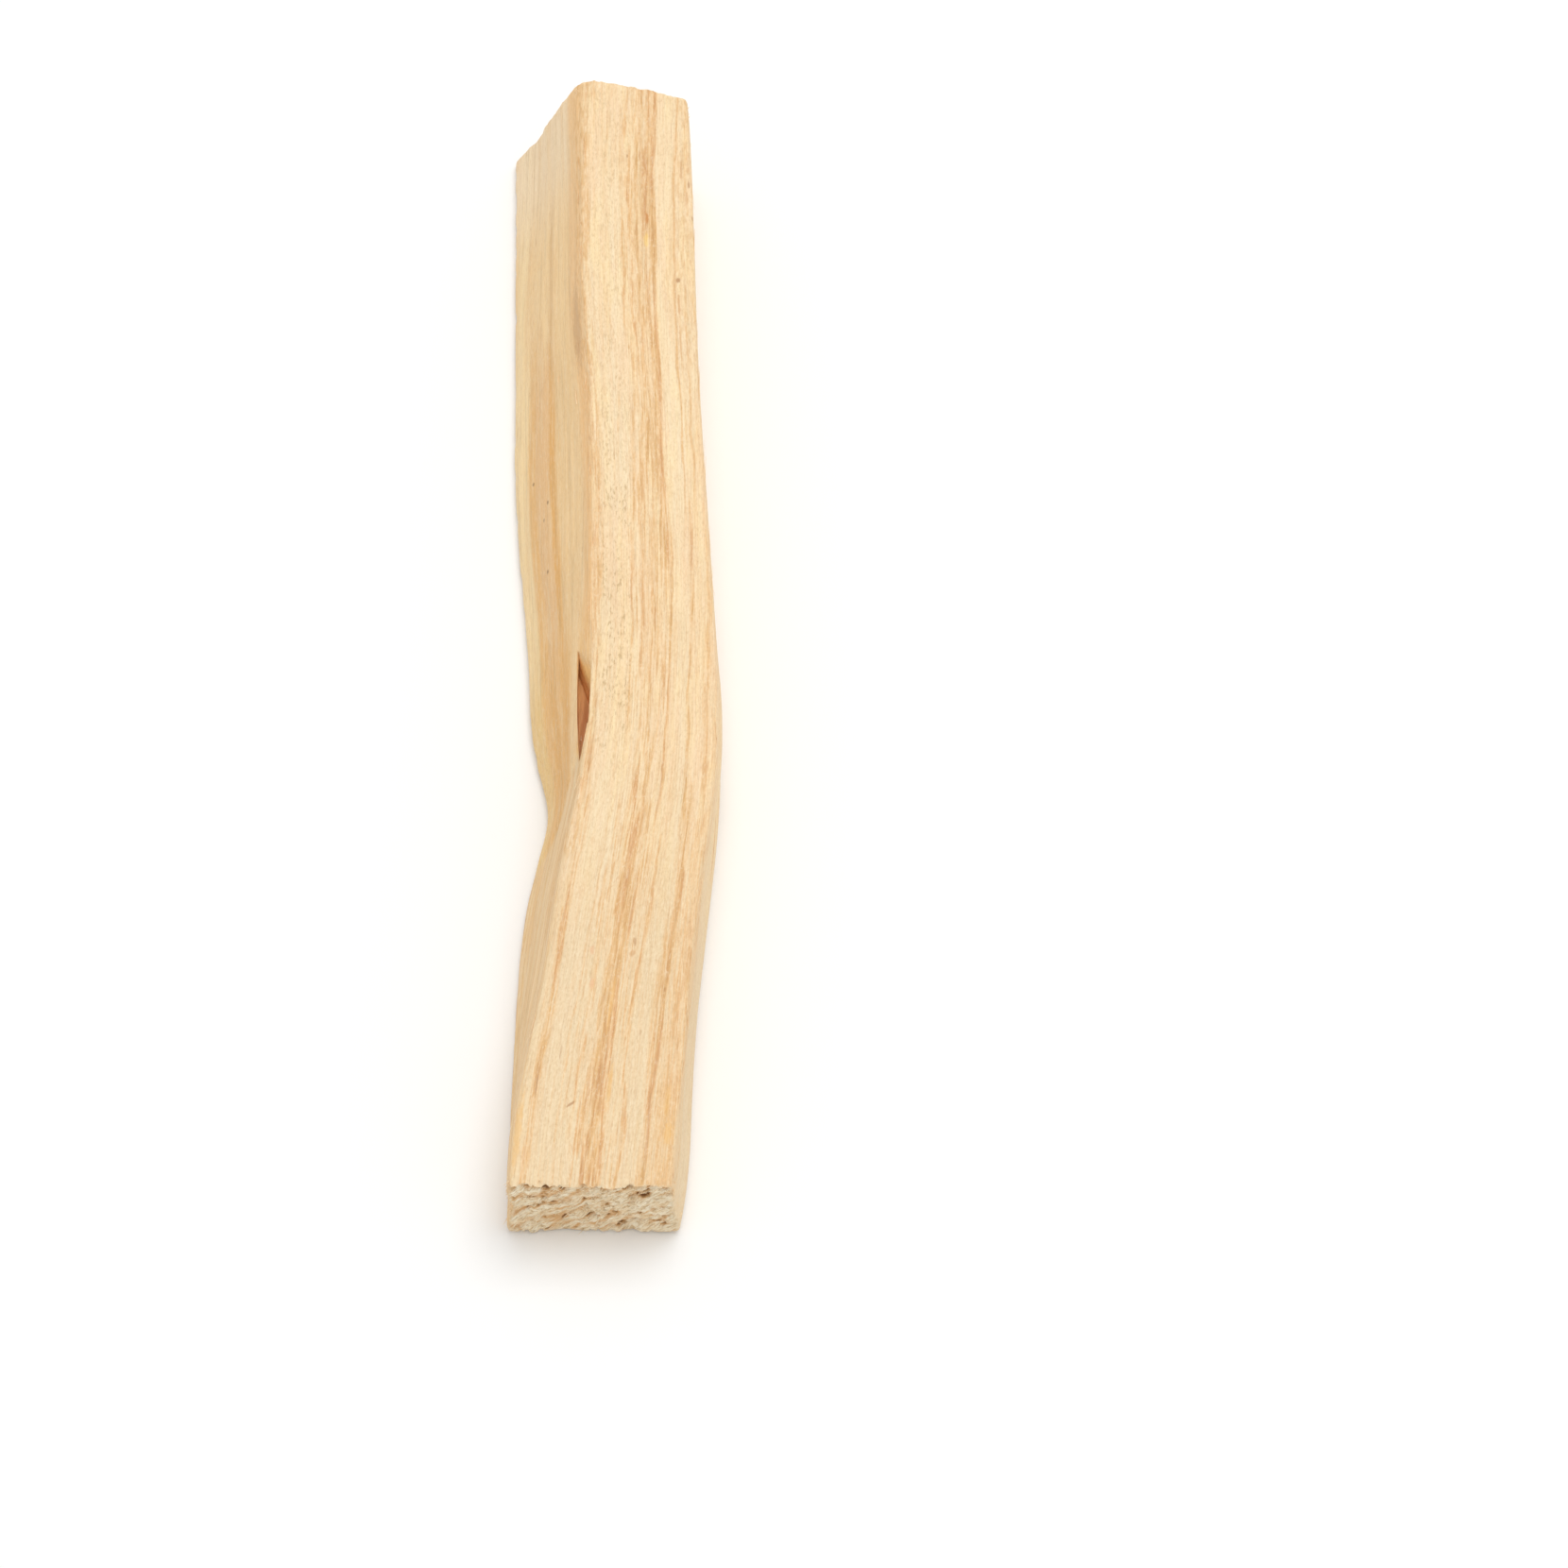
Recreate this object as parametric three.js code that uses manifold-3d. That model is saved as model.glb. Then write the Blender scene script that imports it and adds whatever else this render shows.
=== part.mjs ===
import * as THREE from "three";
import { ImprovedNoise } from "three/addons/math/ImprovedNoise.js";
import { mergeVertices } from "three/addons/utils/BufferGeometryUtils.js";
import Module from "manifold-3d";

// A palo santo stick, split along its bent grain and sawn across at both ends.
// Millimetres, +Z up. It lies along Y on its flat underside, thin end at -Y, thick end at +Y.
// A line along the stick is a list of [y, value] points, from the thin end to the thick end.

// Overall sizes
const LENGTH = 100;
const HEIGHTS = [
  [-50, 7.85],
  [-32, 8.2],
  [-14, 8.95],
  [6, 9.6],
  [28, 10.35],
  [50, 11.65],
];

// The thick end's cut runs back to the right of its furthest corner, and back towards the underside
const THICK_END_SLANT = 0.27;
const SLANT_STARTS_AT = -2.2;
const THICK_END_LEAN = 0.06;
const SLANT_REACH = 9;

// The four long arrises in plan, as [y, x]
const TOP_LEFT = [
  [-50, -7.1],
  [-44, -6.75],
  [-38, -5.75],
  [-31, -4.6],
  [-24, -3.75],
  [-18, -2.75],
  [-12.5, -1.85],
  [-6, -1.45],
  [3, -1.55],
  [21, -2.0],
  [29, -2.65],
  [38, -2.85],
  [50, -3.1],
];
const TOP_RIGHT = [
  [-50, 5.15],
  [-45, 5.55],
  [-38, 6.05],
  [-30, 6.65],
  [-23, 7.3],
  [-18, 8.0],
  [-13, 8.4],
  [-8, 8.45],
  [0, 8.1],
  [10, 7.5],
  [21, 6.85],
  [36, 6.3],
  [50, 5.75],
];
const BOTTOM_LEFT = [
  [-50, -7.5],
  [-41, -7.45],
  [-31, -7.3],
  [-22, -6.75],
  [-17.5, -5.8],
  [-14, -5.15],
  [-10.5, -5.85],
  [-6.5, -6.7],
  [0, -7.15],
  [6, -7.65],
  [12, -8.2],
  [17, -8.55],
  [30, -8.75],
  [50, -9.1],
];
const BOTTOM_RIGHT = [
  [-50, 5.7],
  [-46, 6.3],
  [-38, 6.6],
  [-30, 7.1],
  [-23, 7.8],
  [-15, 8.5],
  [-9, 8.65],
  [-3, 8.3],
  [8, 7.5],
  [21, 6.6],
  [36, 5.9],
  [50, 5.3],
];

// Rounding of each arris, as [y, distance cut back along each face]
const TOP_RIGHT_ROUND = [
  [-50, 0.4],
  [0, 0.5],
  [50, 0.5],
];
const TOP_LEFT_ROUND = [
  [-50, 0.3],
  [-30, 0.22],
  [-8, 0.14],
  [30, 0.14],
  [42, 0.28],
  [50, 1.1],
];
const BOTTOM_LEFT_ROUND = [
  [-50, 0.45],
  [0, 0.8],
  [50, 0.7],
];
const BOTTOM_RIGHT_ROUND = [
  [-50, 0.45],
  [0, 0.7],
  [50, 0.8],
];
const NIBBLE_DEPTH = 0.4;
const NIBBLE_LENGTH = 2.6;
const NIBBLE_THRESHOLD = 0.08;
const NIBBLE_SEED = 2.3;
const NEXT_ARRIS_SEED = 5.7;

// Steps of the mesh: across the top and underside, down the sides, and along the stick
const ACROSS = 16;
const DOWN = 12;
const ROW_STEP = 1.7;
const ROWS_BY_A_CUT = [0, 0.3, 0.8, 1.6, 2.8];

// Relief of the split faces: long furrows and slow swells, both as heights from the plain face
const TOP_FACE = { width: 12, furrow: 0.09, swell: 0.2, seed: 3.1 };
const LEFT_FACE = { width: 9, furrow: 0.11, swell: 0.26, seed: 17.4 };
const RIGHT_FACE = { width: 9, furrow: 0.12, swell: 0.18, seed: 29.8 };
const FURROW_SPACING = 2.1;
const FURROW_LENGTH = 26;
const SWELL_LENGTH = 17;
const SWELLS_ACROSS = 1.4;
const SWELL_SEED = 4.1;
const RELIEF_GAIN = 2; // smooth noise stays within about half a unit

// A splinter that came away left a long ledge low on the right face of the thick half
const LEDGE_DEPTH = 0.55;
const LEDGE_MIDDLE = 26;
const LEDGE_LENGTH = 46;
const LEDGE_SHARE = 0.58; // its height up the face
const LEDGE_EDGE = 0.1;
const LEDGE_RUN_IN = 0.3;

// The underside is flat along its middle. Beside that it has furrows, and it curls up at its sides.
const UNDERSIDE_FURROW_DEPTH = 0.5;
const UNDERSIDE_FURROW_SPACING = 1.9;
const UNDERSIDE_FURROW_THRESHOLD = 0.06;
const UNDERSIDE_SEED = 41.7;
const FLAT_STRIP_SHARE = 0.12;
const FLAT_STRIP_EDGE = 0.1;
const FLAT_HALF_WIDTH = 3.6;
const CURL_WIDTH = 4;
const CURL_HEIGHT = 0.3;
const CURL_REACH = 2; // how far up the sides it lifts them

// The cuts: torn end grain combed along a slant, with pits where fibres pulled out, as [x, z]
const COMB_ANGLE = THREE.MathUtils.degToRad(38);
const COMB_PITCH = 1.5;
const COMB_LENGTH = 4.5;
const COMB_DEPTH = 0.36;
const COMB_BIAS = 0.4;
const THIN_END_RAGGED = 0.26;
const THICK_END_RAGGED = 0.12;
const RAGGED_LENGTH = 0.8;
const RAGGED_BIAS = 0.3;
const EDGE_WEAR = 0.14;
const EDGE_WEAR_REACH = 0.8;
const PIT_RADIUS = 0.8;
const PIT_DEPTH = 0.6;
const THIN_END_PITS = [
  [-5.3, 4.9],
  [-6.2, 3.2],
  [-2.4, 1.3],
  [-0.9, 3.2],
  [1.7, 4.0],
  [1.9, 1.2],
  [4.0, 5.6],
];
const THICK_END_PITS = [
  [-5.6, 2.2],
  [-3.2, 6.9],
  [-0.2, 9.2],
  [2.4, 3.4],
  [3.7, 8.0],
];

// The drying split in plan, as [x, y]: blunt at its far end, where it meets the upper left arris,
// and pointed at the other. It runs down into the wood and narrows from its top to its floor.
const SPLIT_FAR_CORNER = [-2.66, -2.1];
const SPLIT_ARRIS_CORNER = [-1.5, -4.5];
const SPLIT_ARRIS_BENDS = [
  [-1.36, -8.2],
  [-1.62, -10.8],
];
const SPLIT_TIP = [-2.4, -13.8];
const SPLIT_FACE_BEND = [-2.84, -8.5];
const SPLIT_CURVE_STEPS = 9;
const SPLIT_TOP = 10;
const SPLIT_FLOOR = 6;
const SPLIT_FLOOR_WIDTH_SHARE = 0.8;
const SPLIT_FLOOR_LENGTH_SHARE = 0.8;

const HALF = LENGTH / 2;
const SECTION_POINTS = 2 * (ACROSS + DOWN);
const WOOD = new THREE.MeshStandardMaterial({ color: 0xf3d3a4, roughness: 0.82, metalness: 0 });
const perlin = new ImprovedNoise();

// A smooth line through [y, value] points, read at any y.
function lineThrough(points) {
  const places = points.map(([y]) => y);
  const values = points.map(([, value]) => value);
  const line = new THREE.CubicInterpolant(places, values, 1, [0]);
  return (y) => line.evaluate(y)[0];
}

const heightAt = lineThrough(HEIGHTS);

// The faces in the order of the section's sides, each starting at the corner that it shares with
// the one before: the top from right to left, the left face down, the underside, the right face up.
const SIDES = [
  side(TOP_RIGHT, TOP_RIGHT_ROUND, true, ACROSS, topRelief),
  side(TOP_LEFT, TOP_LEFT_ROUND, true, DOWN, leftRelief),
  side(BOTTOM_LEFT, BOTTOM_LEFT_ROUND, false, ACROSS, undersideRelief),
  side(BOTTOM_RIGHT, BOTTOM_RIGHT_ROUND, false, DOWN, rightRelief),
];

function side(corner, round, onTop, steps, relief) {
  return { x: lineThrough(corner), round: lineThrough(round), onTop, steps, relief };
}

// Furrows and swells of a face at a share of its width, fading out at its arrises.
function splitRelief(face, share, y) {
  const across = (share * face.width) / FURROW_SPACING;
  const furrow = perlin.noise(across, y / FURROW_LENGTH, face.seed);
  const swell = perlin.noise(y / SWELL_LENGTH, share * SWELLS_ACROSS, face.seed + SWELL_SEED);
  const fade = Math.sqrt(Math.sin(Math.PI * share));
  return fade * RELIEF_GAIN * (face.furrow * furrow + face.swell * swell);
}

function topRelief(share, y) {
  return splitRelief(TOP_FACE, share, y);
}

function leftRelief(share, y) {
  return splitRelief(LEFT_FACE, share, y);
}

function rightRelief(share, y) {
  const aboveLedge = THREE.MathUtils.smoothstep(share, LEDGE_SHARE, LEDGE_SHARE + LEDGE_EDGE);
  const fromEnds = Math.max(0, 1 - (2 * Math.abs(y - LEDGE_MIDDLE)) / LEDGE_LENGTH);
  const below = Math.min(1, share / LEDGE_RUN_IN) * Math.min(1, fromEnds / LEDGE_RUN_IN);
  return splitRelief(RIGHT_FACE, share, y) - LEDGE_DEPTH * (1 - aboveLedge) * below;
}

function undersideRelief(share, y) {
  const across = (share * TOP_FACE.width) / UNDERSIDE_FURROW_SPACING;
  const furrow = perlin.noise(across, y / FURROW_LENGTH, UNDERSIDE_SEED);
  const depth = UNDERSIDE_FURROW_DEPTH * Math.max(0, furrow - UNDERSIDE_FURROW_THRESHOLD);
  const beside = Math.abs(share - 0.5) - FLAT_STRIP_SHARE;
  const fade = THREE.MathUtils.smoothstep(beside, 0, FLAT_STRIP_EDGE) * Math.sin(Math.PI * share);
  return -depth * fade;
}

// A point at a set distance from one corner towards another.
function fromCorner(corner, other, distance) {
  return corner.clone().add(other.clone().sub(corner).setLength(distance));
}

// Rounding of one arris, deeper where it is nibbled.
function roundAt(i, y) {
  const bite = perlin.noise(y / NIBBLE_LENGTH, i * NEXT_ARRIS_SEED, NIBBLE_SEED);
  return SIDES[i].round(y) + NIBBLE_DEPTH * Math.max(0, bite - NIBBLE_THRESHOLD);
}

function curlUnderside(point, middle) {
  const beyond = Math.max(0, Math.abs(point.x - middle) - FLAT_HALF_WIDTH) / CURL_WIDTH;
  const low = Math.max(0, 1 - point.y / CURL_REACH);
  point.y += CURL_HEIGHT * low * Math.min(1, beyond) ** 2;
}

// The section across the stick at one y, anticlockwise seen from the thin end, from the middle of
// the upper right arris round to it again, always with the same number of points.
function sectionAt(y) {
  const corners = SIDES.map(({ x, onTop }) => new THREE.Vector2(x(y), onTop ? heightAt(y) : 0));
  const section = [];
  corners.forEach((corner, i) => {
    const next = (i + 1) % 4;
    const before = corners[(i + 3) % 4];
    const after = corners[next];
    const start = fromCorner(corner, before, roundAt(i, y));
    const end = fromCorner(corner, after, roundAt(i, y));
    const nextStart = fromCorner(after, corner, roundAt(next, y));
    const along = after.clone().sub(corner).normalize();
    const outward = new THREE.Vector2(along.y, -along.x);
    section.push(new THREE.QuadraticBezierCurve(start, corner, end).getPoint(0.5));
    const plainSteps = SIDES[i].steps - 2;
    for (let k = 0; k <= plainSteps; k++) {
      const share = k / plainSteps;
      const point = end.clone().lerp(nextStart, share);
      section.push(point.addScaledVector(outward, SIDES[i].relief(share, y)));
    }
  });
  const middle = (corners[2].x + corners[3].x) / 2;
  section.forEach((point) => curlUnderside(point, middle));
  return section;
}

function middleOf(section) {
  const sum = section.reduce((total, point) => total.add(point), new THREE.Vector2());
  return sum.divideScalar(section.length);
}

// Where a point of a section at y lies once the thick end's cut is slanted.
function slanted(x, y, z) {
  const fade = THREE.MathUtils.smoothstep(y, HALF - SLANT_REACH, HALF);
  const toTheRight = THICK_END_SLANT * Math.max(0, x - SLANT_STARTS_AT);
  const downwards = THICK_END_LEAN * (heightAt(HALF) - z);
  return y - fade * (toTheRight + downwards);
}

// A row of the stick as [x, y, z] points. The rows at the cuts are worn and ragged.
function rowAt(y) {
  const section = sectionAt(y);
  const middle = middleOf(section);
  const fromCut = HALF - Math.abs(y);
  const wear = EDGE_WEAR * Math.max(0, 1 - fromCut / EDGE_WEAR_REACH) ** 2;
  const raggedness = y < 0 ? THIN_END_RAGGED : THICK_END_RAGGED;
  return section.map((point) => {
    const worn = fromCorner(point, middle, wear);
    const torn = perlin.noise(worn.x / RAGGED_LENGTH, worn.y / RAGGED_LENGTH, y);
    const ragged = fromCut > 0 ? 0 : raggedness * Math.max(0, torn + RAGGED_BIAS);
    return [worn.x, slanted(worn.x, y, worn.y) - Math.sign(y) * ragged, worn.y];
  });
}

// How deep the torn grain of a cut lies behind its plane.
function cutDepth(x, z, pits) {
  const along = x * Math.cos(COMB_ANGLE) + z * Math.sin(COMB_ANGLE);
  const across = z * Math.cos(COMB_ANGLE) - x * Math.sin(COMB_ANGLE);
  const comb = perlin.noise(along / COMB_LENGTH, across / COMB_PITCH, pits.length);
  const pit = pits.reduce((deepest, [pitX, pitZ]) => {
    const distance = Math.hypot(x - pitX, z - pitZ) / PIT_RADIUS;
    return Math.max(deepest, PIT_DEPTH * Math.exp(-distance * distance));
  }, 0);
  return COMB_DEPTH * (COMB_BIAS + comb) + pit;
}

// A point inside a cut, between the four sides of its section: u from right to left, v down.
function cutPoint(section, column, line) {
  const at = (index) => section[(index + SECTION_POINTS) % SECTION_POINTS];
  const u = column / ACROSS;
  const v = line / DOWN;
  const blend = (right, left) => right.clone().lerp(left, u);
  const betweenSides = blend(at(-line), at(ACROSS + line));
  const betweenFaces = at(column).clone().lerp(at(2 * ACROSS + DOWN - column), v);
  const corners = blend(at(0), at(ACROSS)).lerp(blend(at(-DOWN), at(ACROSS + DOWN)), v);
  return betweenSides.add(betweenFaces).sub(corners);
}

// Closed surface of the stick: rows of sections from cut to cut, and a grid over each cut.
function stickGeometry() {
  const plainLength = LENGTH - 2 * ROWS_BY_A_CUT.at(-1);
  const plainRows = Math.round(plainLength / ROW_STEP);
  const rows = ROWS_BY_A_CUT.map((distance) => distance - HALF);
  for (let i = 1; i < plainRows; i++) {
    rows.push(ROWS_BY_A_CUT.at(-1) - HALF + (plainLength * i) / plainRows);
  }
  rows.push(...ROWS_BY_A_CUT.map((distance) => HALF - distance).reverse());

  const positions = [];
  const indices = [];
  const add = (point) => positions.push(...point) / 3 - 1;
  const quad = (a, b, c, d) => indices.push(a, b, c, a, c, d);

  const rings = rows.map((y) => rowAt(y).map(add));
  for (let row = 0; row + 1 < rings.length; row++) {
    for (let j = 0; j < SECTION_POINTS; j++) {
      const next = (j + 1) % SECTION_POINTS;
      quad(rings[row][j], rings[row + 1][j], rings[row + 1][next], rings[row][next]);
    }
  }

  const closeCut = (ring, y, pits) => {
    const section = sectionAt(y);
    const at = (index) => ring[(index + SECTION_POINTS) % SECTION_POINTS];
    const inward = -Math.sign(y);
    const grid = [];
    for (let line = 0; line <= DOWN; line++) {
      grid.push([]);
      for (let column = 0; column <= ACROSS; column++) {
        if (line === 0) grid[line].push(at(column));
        else if (line === DOWN) grid[line].push(at(2 * ACROSS + DOWN - column));
        else if (column === 0) grid[line].push(at(-line));
        else if (column === ACROSS) grid[line].push(at(ACROSS + line));
        else {
          const point = cutPoint(section, column, line);
          const depth = cutDepth(point.x, point.y, pits);
          const planeY = slanted(point.x, y, point.y);
          grid[line].push(add([point.x, planeY + inward * depth, point.y]));
        }
      }
    }
    for (let line = 0; line < DOWN; line++) {
      for (let column = 0; column < ACROSS; column++) {
        const a = grid[line][column];
        const b = grid[line][column + 1];
        const c = grid[line + 1][column + 1];
        const d = grid[line + 1][column];
        if (y < 0) quad(a, b, c, d);
        else quad(a, d, c, b);
      }
    }
  };
  closeCut(rings[0], -HALF, THIN_END_PITS);
  closeCut(rings.at(-1), HALF, THICK_END_PITS);

  const geometry = new THREE.BufferGeometry();
  geometry.setAttribute("position", new THREE.Float32BufferAttribute(positions, 3));
  geometry.setIndex(indices);
  return geometry;
}

// The wood that the drying split takes away: a leaf-shaped blade, smaller at its floor.
function splitGeometry() {
  const leaf = new THREE.Shape();
  leaf.moveTo(...SPLIT_FAR_CORNER);
  leaf.quadraticCurveTo(...SPLIT_FACE_BEND, ...SPLIT_TIP);
  leaf.bezierCurveTo(...SPLIT_ARRIS_BENDS[1], ...SPLIT_ARRIS_BENDS[0], ...SPLIT_ARRIS_CORNER);
  leaf.closePath();
  const depth = SPLIT_TOP - SPLIT_FLOOR;
  const extrusion = { depth, bevelEnabled: false, curveSegments: SPLIT_CURVE_STEPS };
  const blade = new THREE.ExtrudeGeometry(leaf, extrusion);
  blade.deleteAttribute("normal");
  blade.deleteAttribute("uv");
  blade.computeBoundingBox();
  const middle = blade.boundingBox.getCenter(new THREE.Vector3());
  const position = blade.getAttribute("position");
  for (let i = 0; i < position.count; i++) {
    if (position.getZ(i) > 0) continue;
    const x = THREE.MathUtils.lerp(middle.x, position.getX(i), SPLIT_FLOOR_WIDTH_SHARE);
    const y = THREE.MathUtils.lerp(middle.y, position.getY(i), SPLIT_FLOOR_LENGTH_SHARE);
    position.setXY(i, x, y);
  }
  blade.translate(0, 0, SPLIT_FLOOR);
  return mergeVertices(blade);
}

const wasm = await Module();
wasm.setup();

function solidOf(geometry) {
  const vertProperties = new Float32Array(geometry.getAttribute("position").array);
  const triVerts = new Uint32Array(geometry.index.array);
  return new wasm.Manifold(new wasm.Mesh({ numProp: 3, vertProperties, triVerts }));
}

function geometryOf(solid) {
  const mesh = solid.getMesh();
  const geometry = new THREE.BufferGeometry();
  geometry.setAttribute("position", new THREE.BufferAttribute(mesh.vertProperties, 3));
  geometry.setIndex(new THREE.BufferAttribute(mesh.triVerts, 1));
  return geometry;
}

const splitWood = solidOf(stickGeometry()).subtract(solidOf(splitGeometry()));
const stick = new THREE.Mesh(geometryOf(splitWood), WOOD);
stick.name = "stick";

const part = new THREE.Group();
part.add(stick);
export default part;
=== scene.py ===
import math

import bmesh
import bpy
import numpy as np
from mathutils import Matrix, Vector
from mathutils.bvhtree import BVHTree
from mathutils.kdtree import KDTree


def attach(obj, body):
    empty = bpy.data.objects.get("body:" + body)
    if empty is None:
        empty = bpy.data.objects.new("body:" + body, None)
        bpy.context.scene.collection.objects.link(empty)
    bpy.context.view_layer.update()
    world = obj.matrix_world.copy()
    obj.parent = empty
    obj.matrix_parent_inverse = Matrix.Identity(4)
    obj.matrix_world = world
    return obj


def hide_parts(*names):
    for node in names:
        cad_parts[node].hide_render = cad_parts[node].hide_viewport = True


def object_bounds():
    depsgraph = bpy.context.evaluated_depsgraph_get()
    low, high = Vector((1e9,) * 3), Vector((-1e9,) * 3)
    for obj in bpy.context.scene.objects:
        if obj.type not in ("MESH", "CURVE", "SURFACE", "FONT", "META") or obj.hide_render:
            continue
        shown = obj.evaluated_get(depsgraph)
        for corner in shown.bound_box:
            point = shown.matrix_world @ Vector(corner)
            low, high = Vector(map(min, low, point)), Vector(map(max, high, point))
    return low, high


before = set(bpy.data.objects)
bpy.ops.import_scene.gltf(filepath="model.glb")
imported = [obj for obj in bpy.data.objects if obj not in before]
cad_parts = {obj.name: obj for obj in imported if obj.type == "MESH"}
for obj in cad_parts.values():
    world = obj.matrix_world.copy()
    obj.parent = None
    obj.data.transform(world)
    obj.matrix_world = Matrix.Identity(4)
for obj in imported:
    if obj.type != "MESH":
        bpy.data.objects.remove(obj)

# One palo santo stick, lying along Y with its thin sawn end towards the camera.
# Lengths here are in millimetres. Meshes are scaled to metres as they are made.
MM = 0.001
CAD_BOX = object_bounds()
LOW, HIGH = (np.array(corner) / MM for corner in CAD_BOX)

# Where the cuts lie: the thick end's cut runs back to the right of its furthest corner, and back
# towards the underside
HALF_LENGTH = 50.0
THICK_END_HEIGHT = 11.65
THICK_END_SLANT = 0.27
SLANT_STARTS_AT = -2.2
THICK_END_LEAN = 0.06
SLANT_REACH = 9.0

# Fine mesh of the stick: steps across each face, rows along it, and rays cast round each row
ACROSS = 96
DOWN = 76
COLUMNS = 2 * (ACROSS + DOWN)
ROWS = 214
RAYS = 420
RAY_START = 30.0
RAY_MIDDLE_SHIFT = 0.6
FIRST_REACH = 12.0
SLANTED_ROW_PASSES = 3
PROBE_HEIGHT = 3.0
LAST_ROW_INSET = 0.45
POINTS_PER_STEP = 4
ARRIS_SMOOTHING_ROWS = 4
ALONG_SMOOTHING_ROWS = 2
ACROSS_SMOOTHING_STEPS = 0.6
SHARP_TURN = math.radians(42)

# The drying split in plan, as [x, y]: blunt where it meets the arris, pointed towards the thin end
SPLIT_FAR_CORNER = (-2.66, -2.1)
SPLIT_ARRIS_CORNER = (-1.5, -4.5)
SPLIT_ARRIS_BENDS = ((-1.36, -8.2), (-1.62, -10.8))
SPLIT_TIP = (-2.4, -13.8)
SPLIT_FACE_BEND = (-2.84, -8.5)
SPLIT_TOP = 10.0
SPLIT_FLOOR = 6.0
SPLIT_FLOOR_WIDTH_SHARE = 0.8
SPLIT_FLOOR_LENGTH_SHARE = 0.8
SPLIT_MOUTH_DEPTH = 0.1
SPLIT_MOUTH_HEIGHT = 9.25
SPLIT_MOUTH_SLOPE = 1.68
SPLIT_FAR_LEAN = 0.6
SPLIT_FAR_LEAN_FROM = -11.0
SPLIT_MARGIN = 1.0
SPLIT_RAYS = (math.radians(95), math.radians(165))
SPLIT_LEVELS = 44
SPLIT_CURVE_STEPS = 40
SPLIT_WALL_RELIEF = 0.09
# Where the split's far wall is painted lighter as painted light: how it fades in from the wall, and the
# gap beside the left wall that it leaves
FAR_WALL_RUN = (-1.2, -0.8)
FAR_WALL_GAP = (0.1, 0.35)
# How deep the split's walls turn fully brown: partly the crack's own darker wood, partly painted shade
SPLIT_TONE_AND_SHADE_DEPTH = 1.6

# Grain: its lines keep their distance from the left arris where the stick is no wider than this,
# and spread with the stick where it is. Rings cross the cuts at a slant.
GRAIN_WIDTH = 9.8
RING_SLANT = math.radians(40)
GRAIN_SMOOTHING_ROWS = 10
UNDERSIDE_REACH = 40

# Relief of the split faces: ridges between fibres, and chips out of the arrises
FIBRE_SIZE = (0.55, 19, 0.55)
FIBRE_RELIEF = 0.04
FINE_FIBRE_SIZE = (0.24, 7, 0.24)
FINE_FIBRE_RELIEF = 0.02
CHIP_LENGTH = 1.1
CHIP_THRESHOLD = 0.25
CHIP_STEPS = 2.6
CHIP_DEPTH = 0.16

# The thin half's left facet starts at this y by the arris, and further back the lower it is. The
# thick half's left face ends there in a tongue that stands a little proud of it.
FACET_EDGE_Y = -11.2
FACET_EDGE_SLOPE = 1.05
TONGUE_STEP = 0.14
TONGUE_STEP_WIDTH = 0.9
TONGUE_FADES = (8.0, 1.0)
TONGUE_STEPS_IN = (2, 10)

# Ragged edges of the cuts. Where there are two, -1 is the thin end's and 1 the thick end's.
BEYOND_ENDS = 80.0
CUT_REACH = 6.0
EDGE_PROBE_INSET = 0.4
EDGE_SMOOTHING = {-1: 3, 1: 9}
EDGE_RAGGED = {-1: 0.3, 1: 0.1}
EDGE_TEAR_SIZE = (0.5, 9, 0.5)
FINE_EDGE_TEAR_SIZE = (0.2, 9, 0.2)
FINE_EDGE_TEAR_SHARE = 0.6
EDGE_TEAR_SHIFT = 0.15
EDGE_TEAR_LIMIT = 1.2
EDGE_WEAR = 0.1
EDGE_WEAR_SIZE = (0.7, 9, 0.7)
EDGE_WEAR_VARIES = 0.6
BEHIND_EDGE_INSET = 0.02
BEHIND_EDGE_SHARES = (0.45, 0.55)

# Torn end grain, combed along the rings, with tufts and hollows. Sizes are along and over the rings.
RIM_SHARE = 0.3
RIM_STEPS = 2.6
PACKED_RELIEF_SHARE = 0.5
COMB_SWAY_SIZE = (1.7, 1.2)
COMB_SWAY = 0.25
COMB_SIZE = (1.9, 0.34)
COMB_RELIEF = 0.07
FINE_COMB_SIZE = (0.9, 0.2)
FINE_COMB_RELIEF = 0.05
TUFT_SIZE = (0.24, 0.24)
TUFT_RELIEF = 0.04
HOLLOW_SEED = 41
HOLLOW_STRETCH = 1.8
HOLLOW_RAGGED_SIZE = (0.26, 0.2)
HOLLOW_RAGGED = 0.45
HOLLOW_RIM = (1.5, 0.4)
HOLLOW_DEPTH = 0.55
# How much the comb's ridges take off the hollows' painted shade
COMB_SHADE = 0.5
SMALL_HOLLOWS = 190
SMALL_HOLLOW_WIDTH = (0.07, 0.19)
SMALL_HOLLOW_ROOT_DARK = (0.1, 0.7)
# Hollows along the cut's top edge, painted dark as the shadow under the edge
EDGE_HOLLOWS = 34
EDGE_HOLLOW_DROP = (0.1, 0.5)
EDGE_HOLLOW_WIDTH = (0.09, 0.2)
EDGE_HOLLOW_DARK = (0.2, 0.8)
EDGE_HOLLOW_REACH = 0.2
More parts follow.
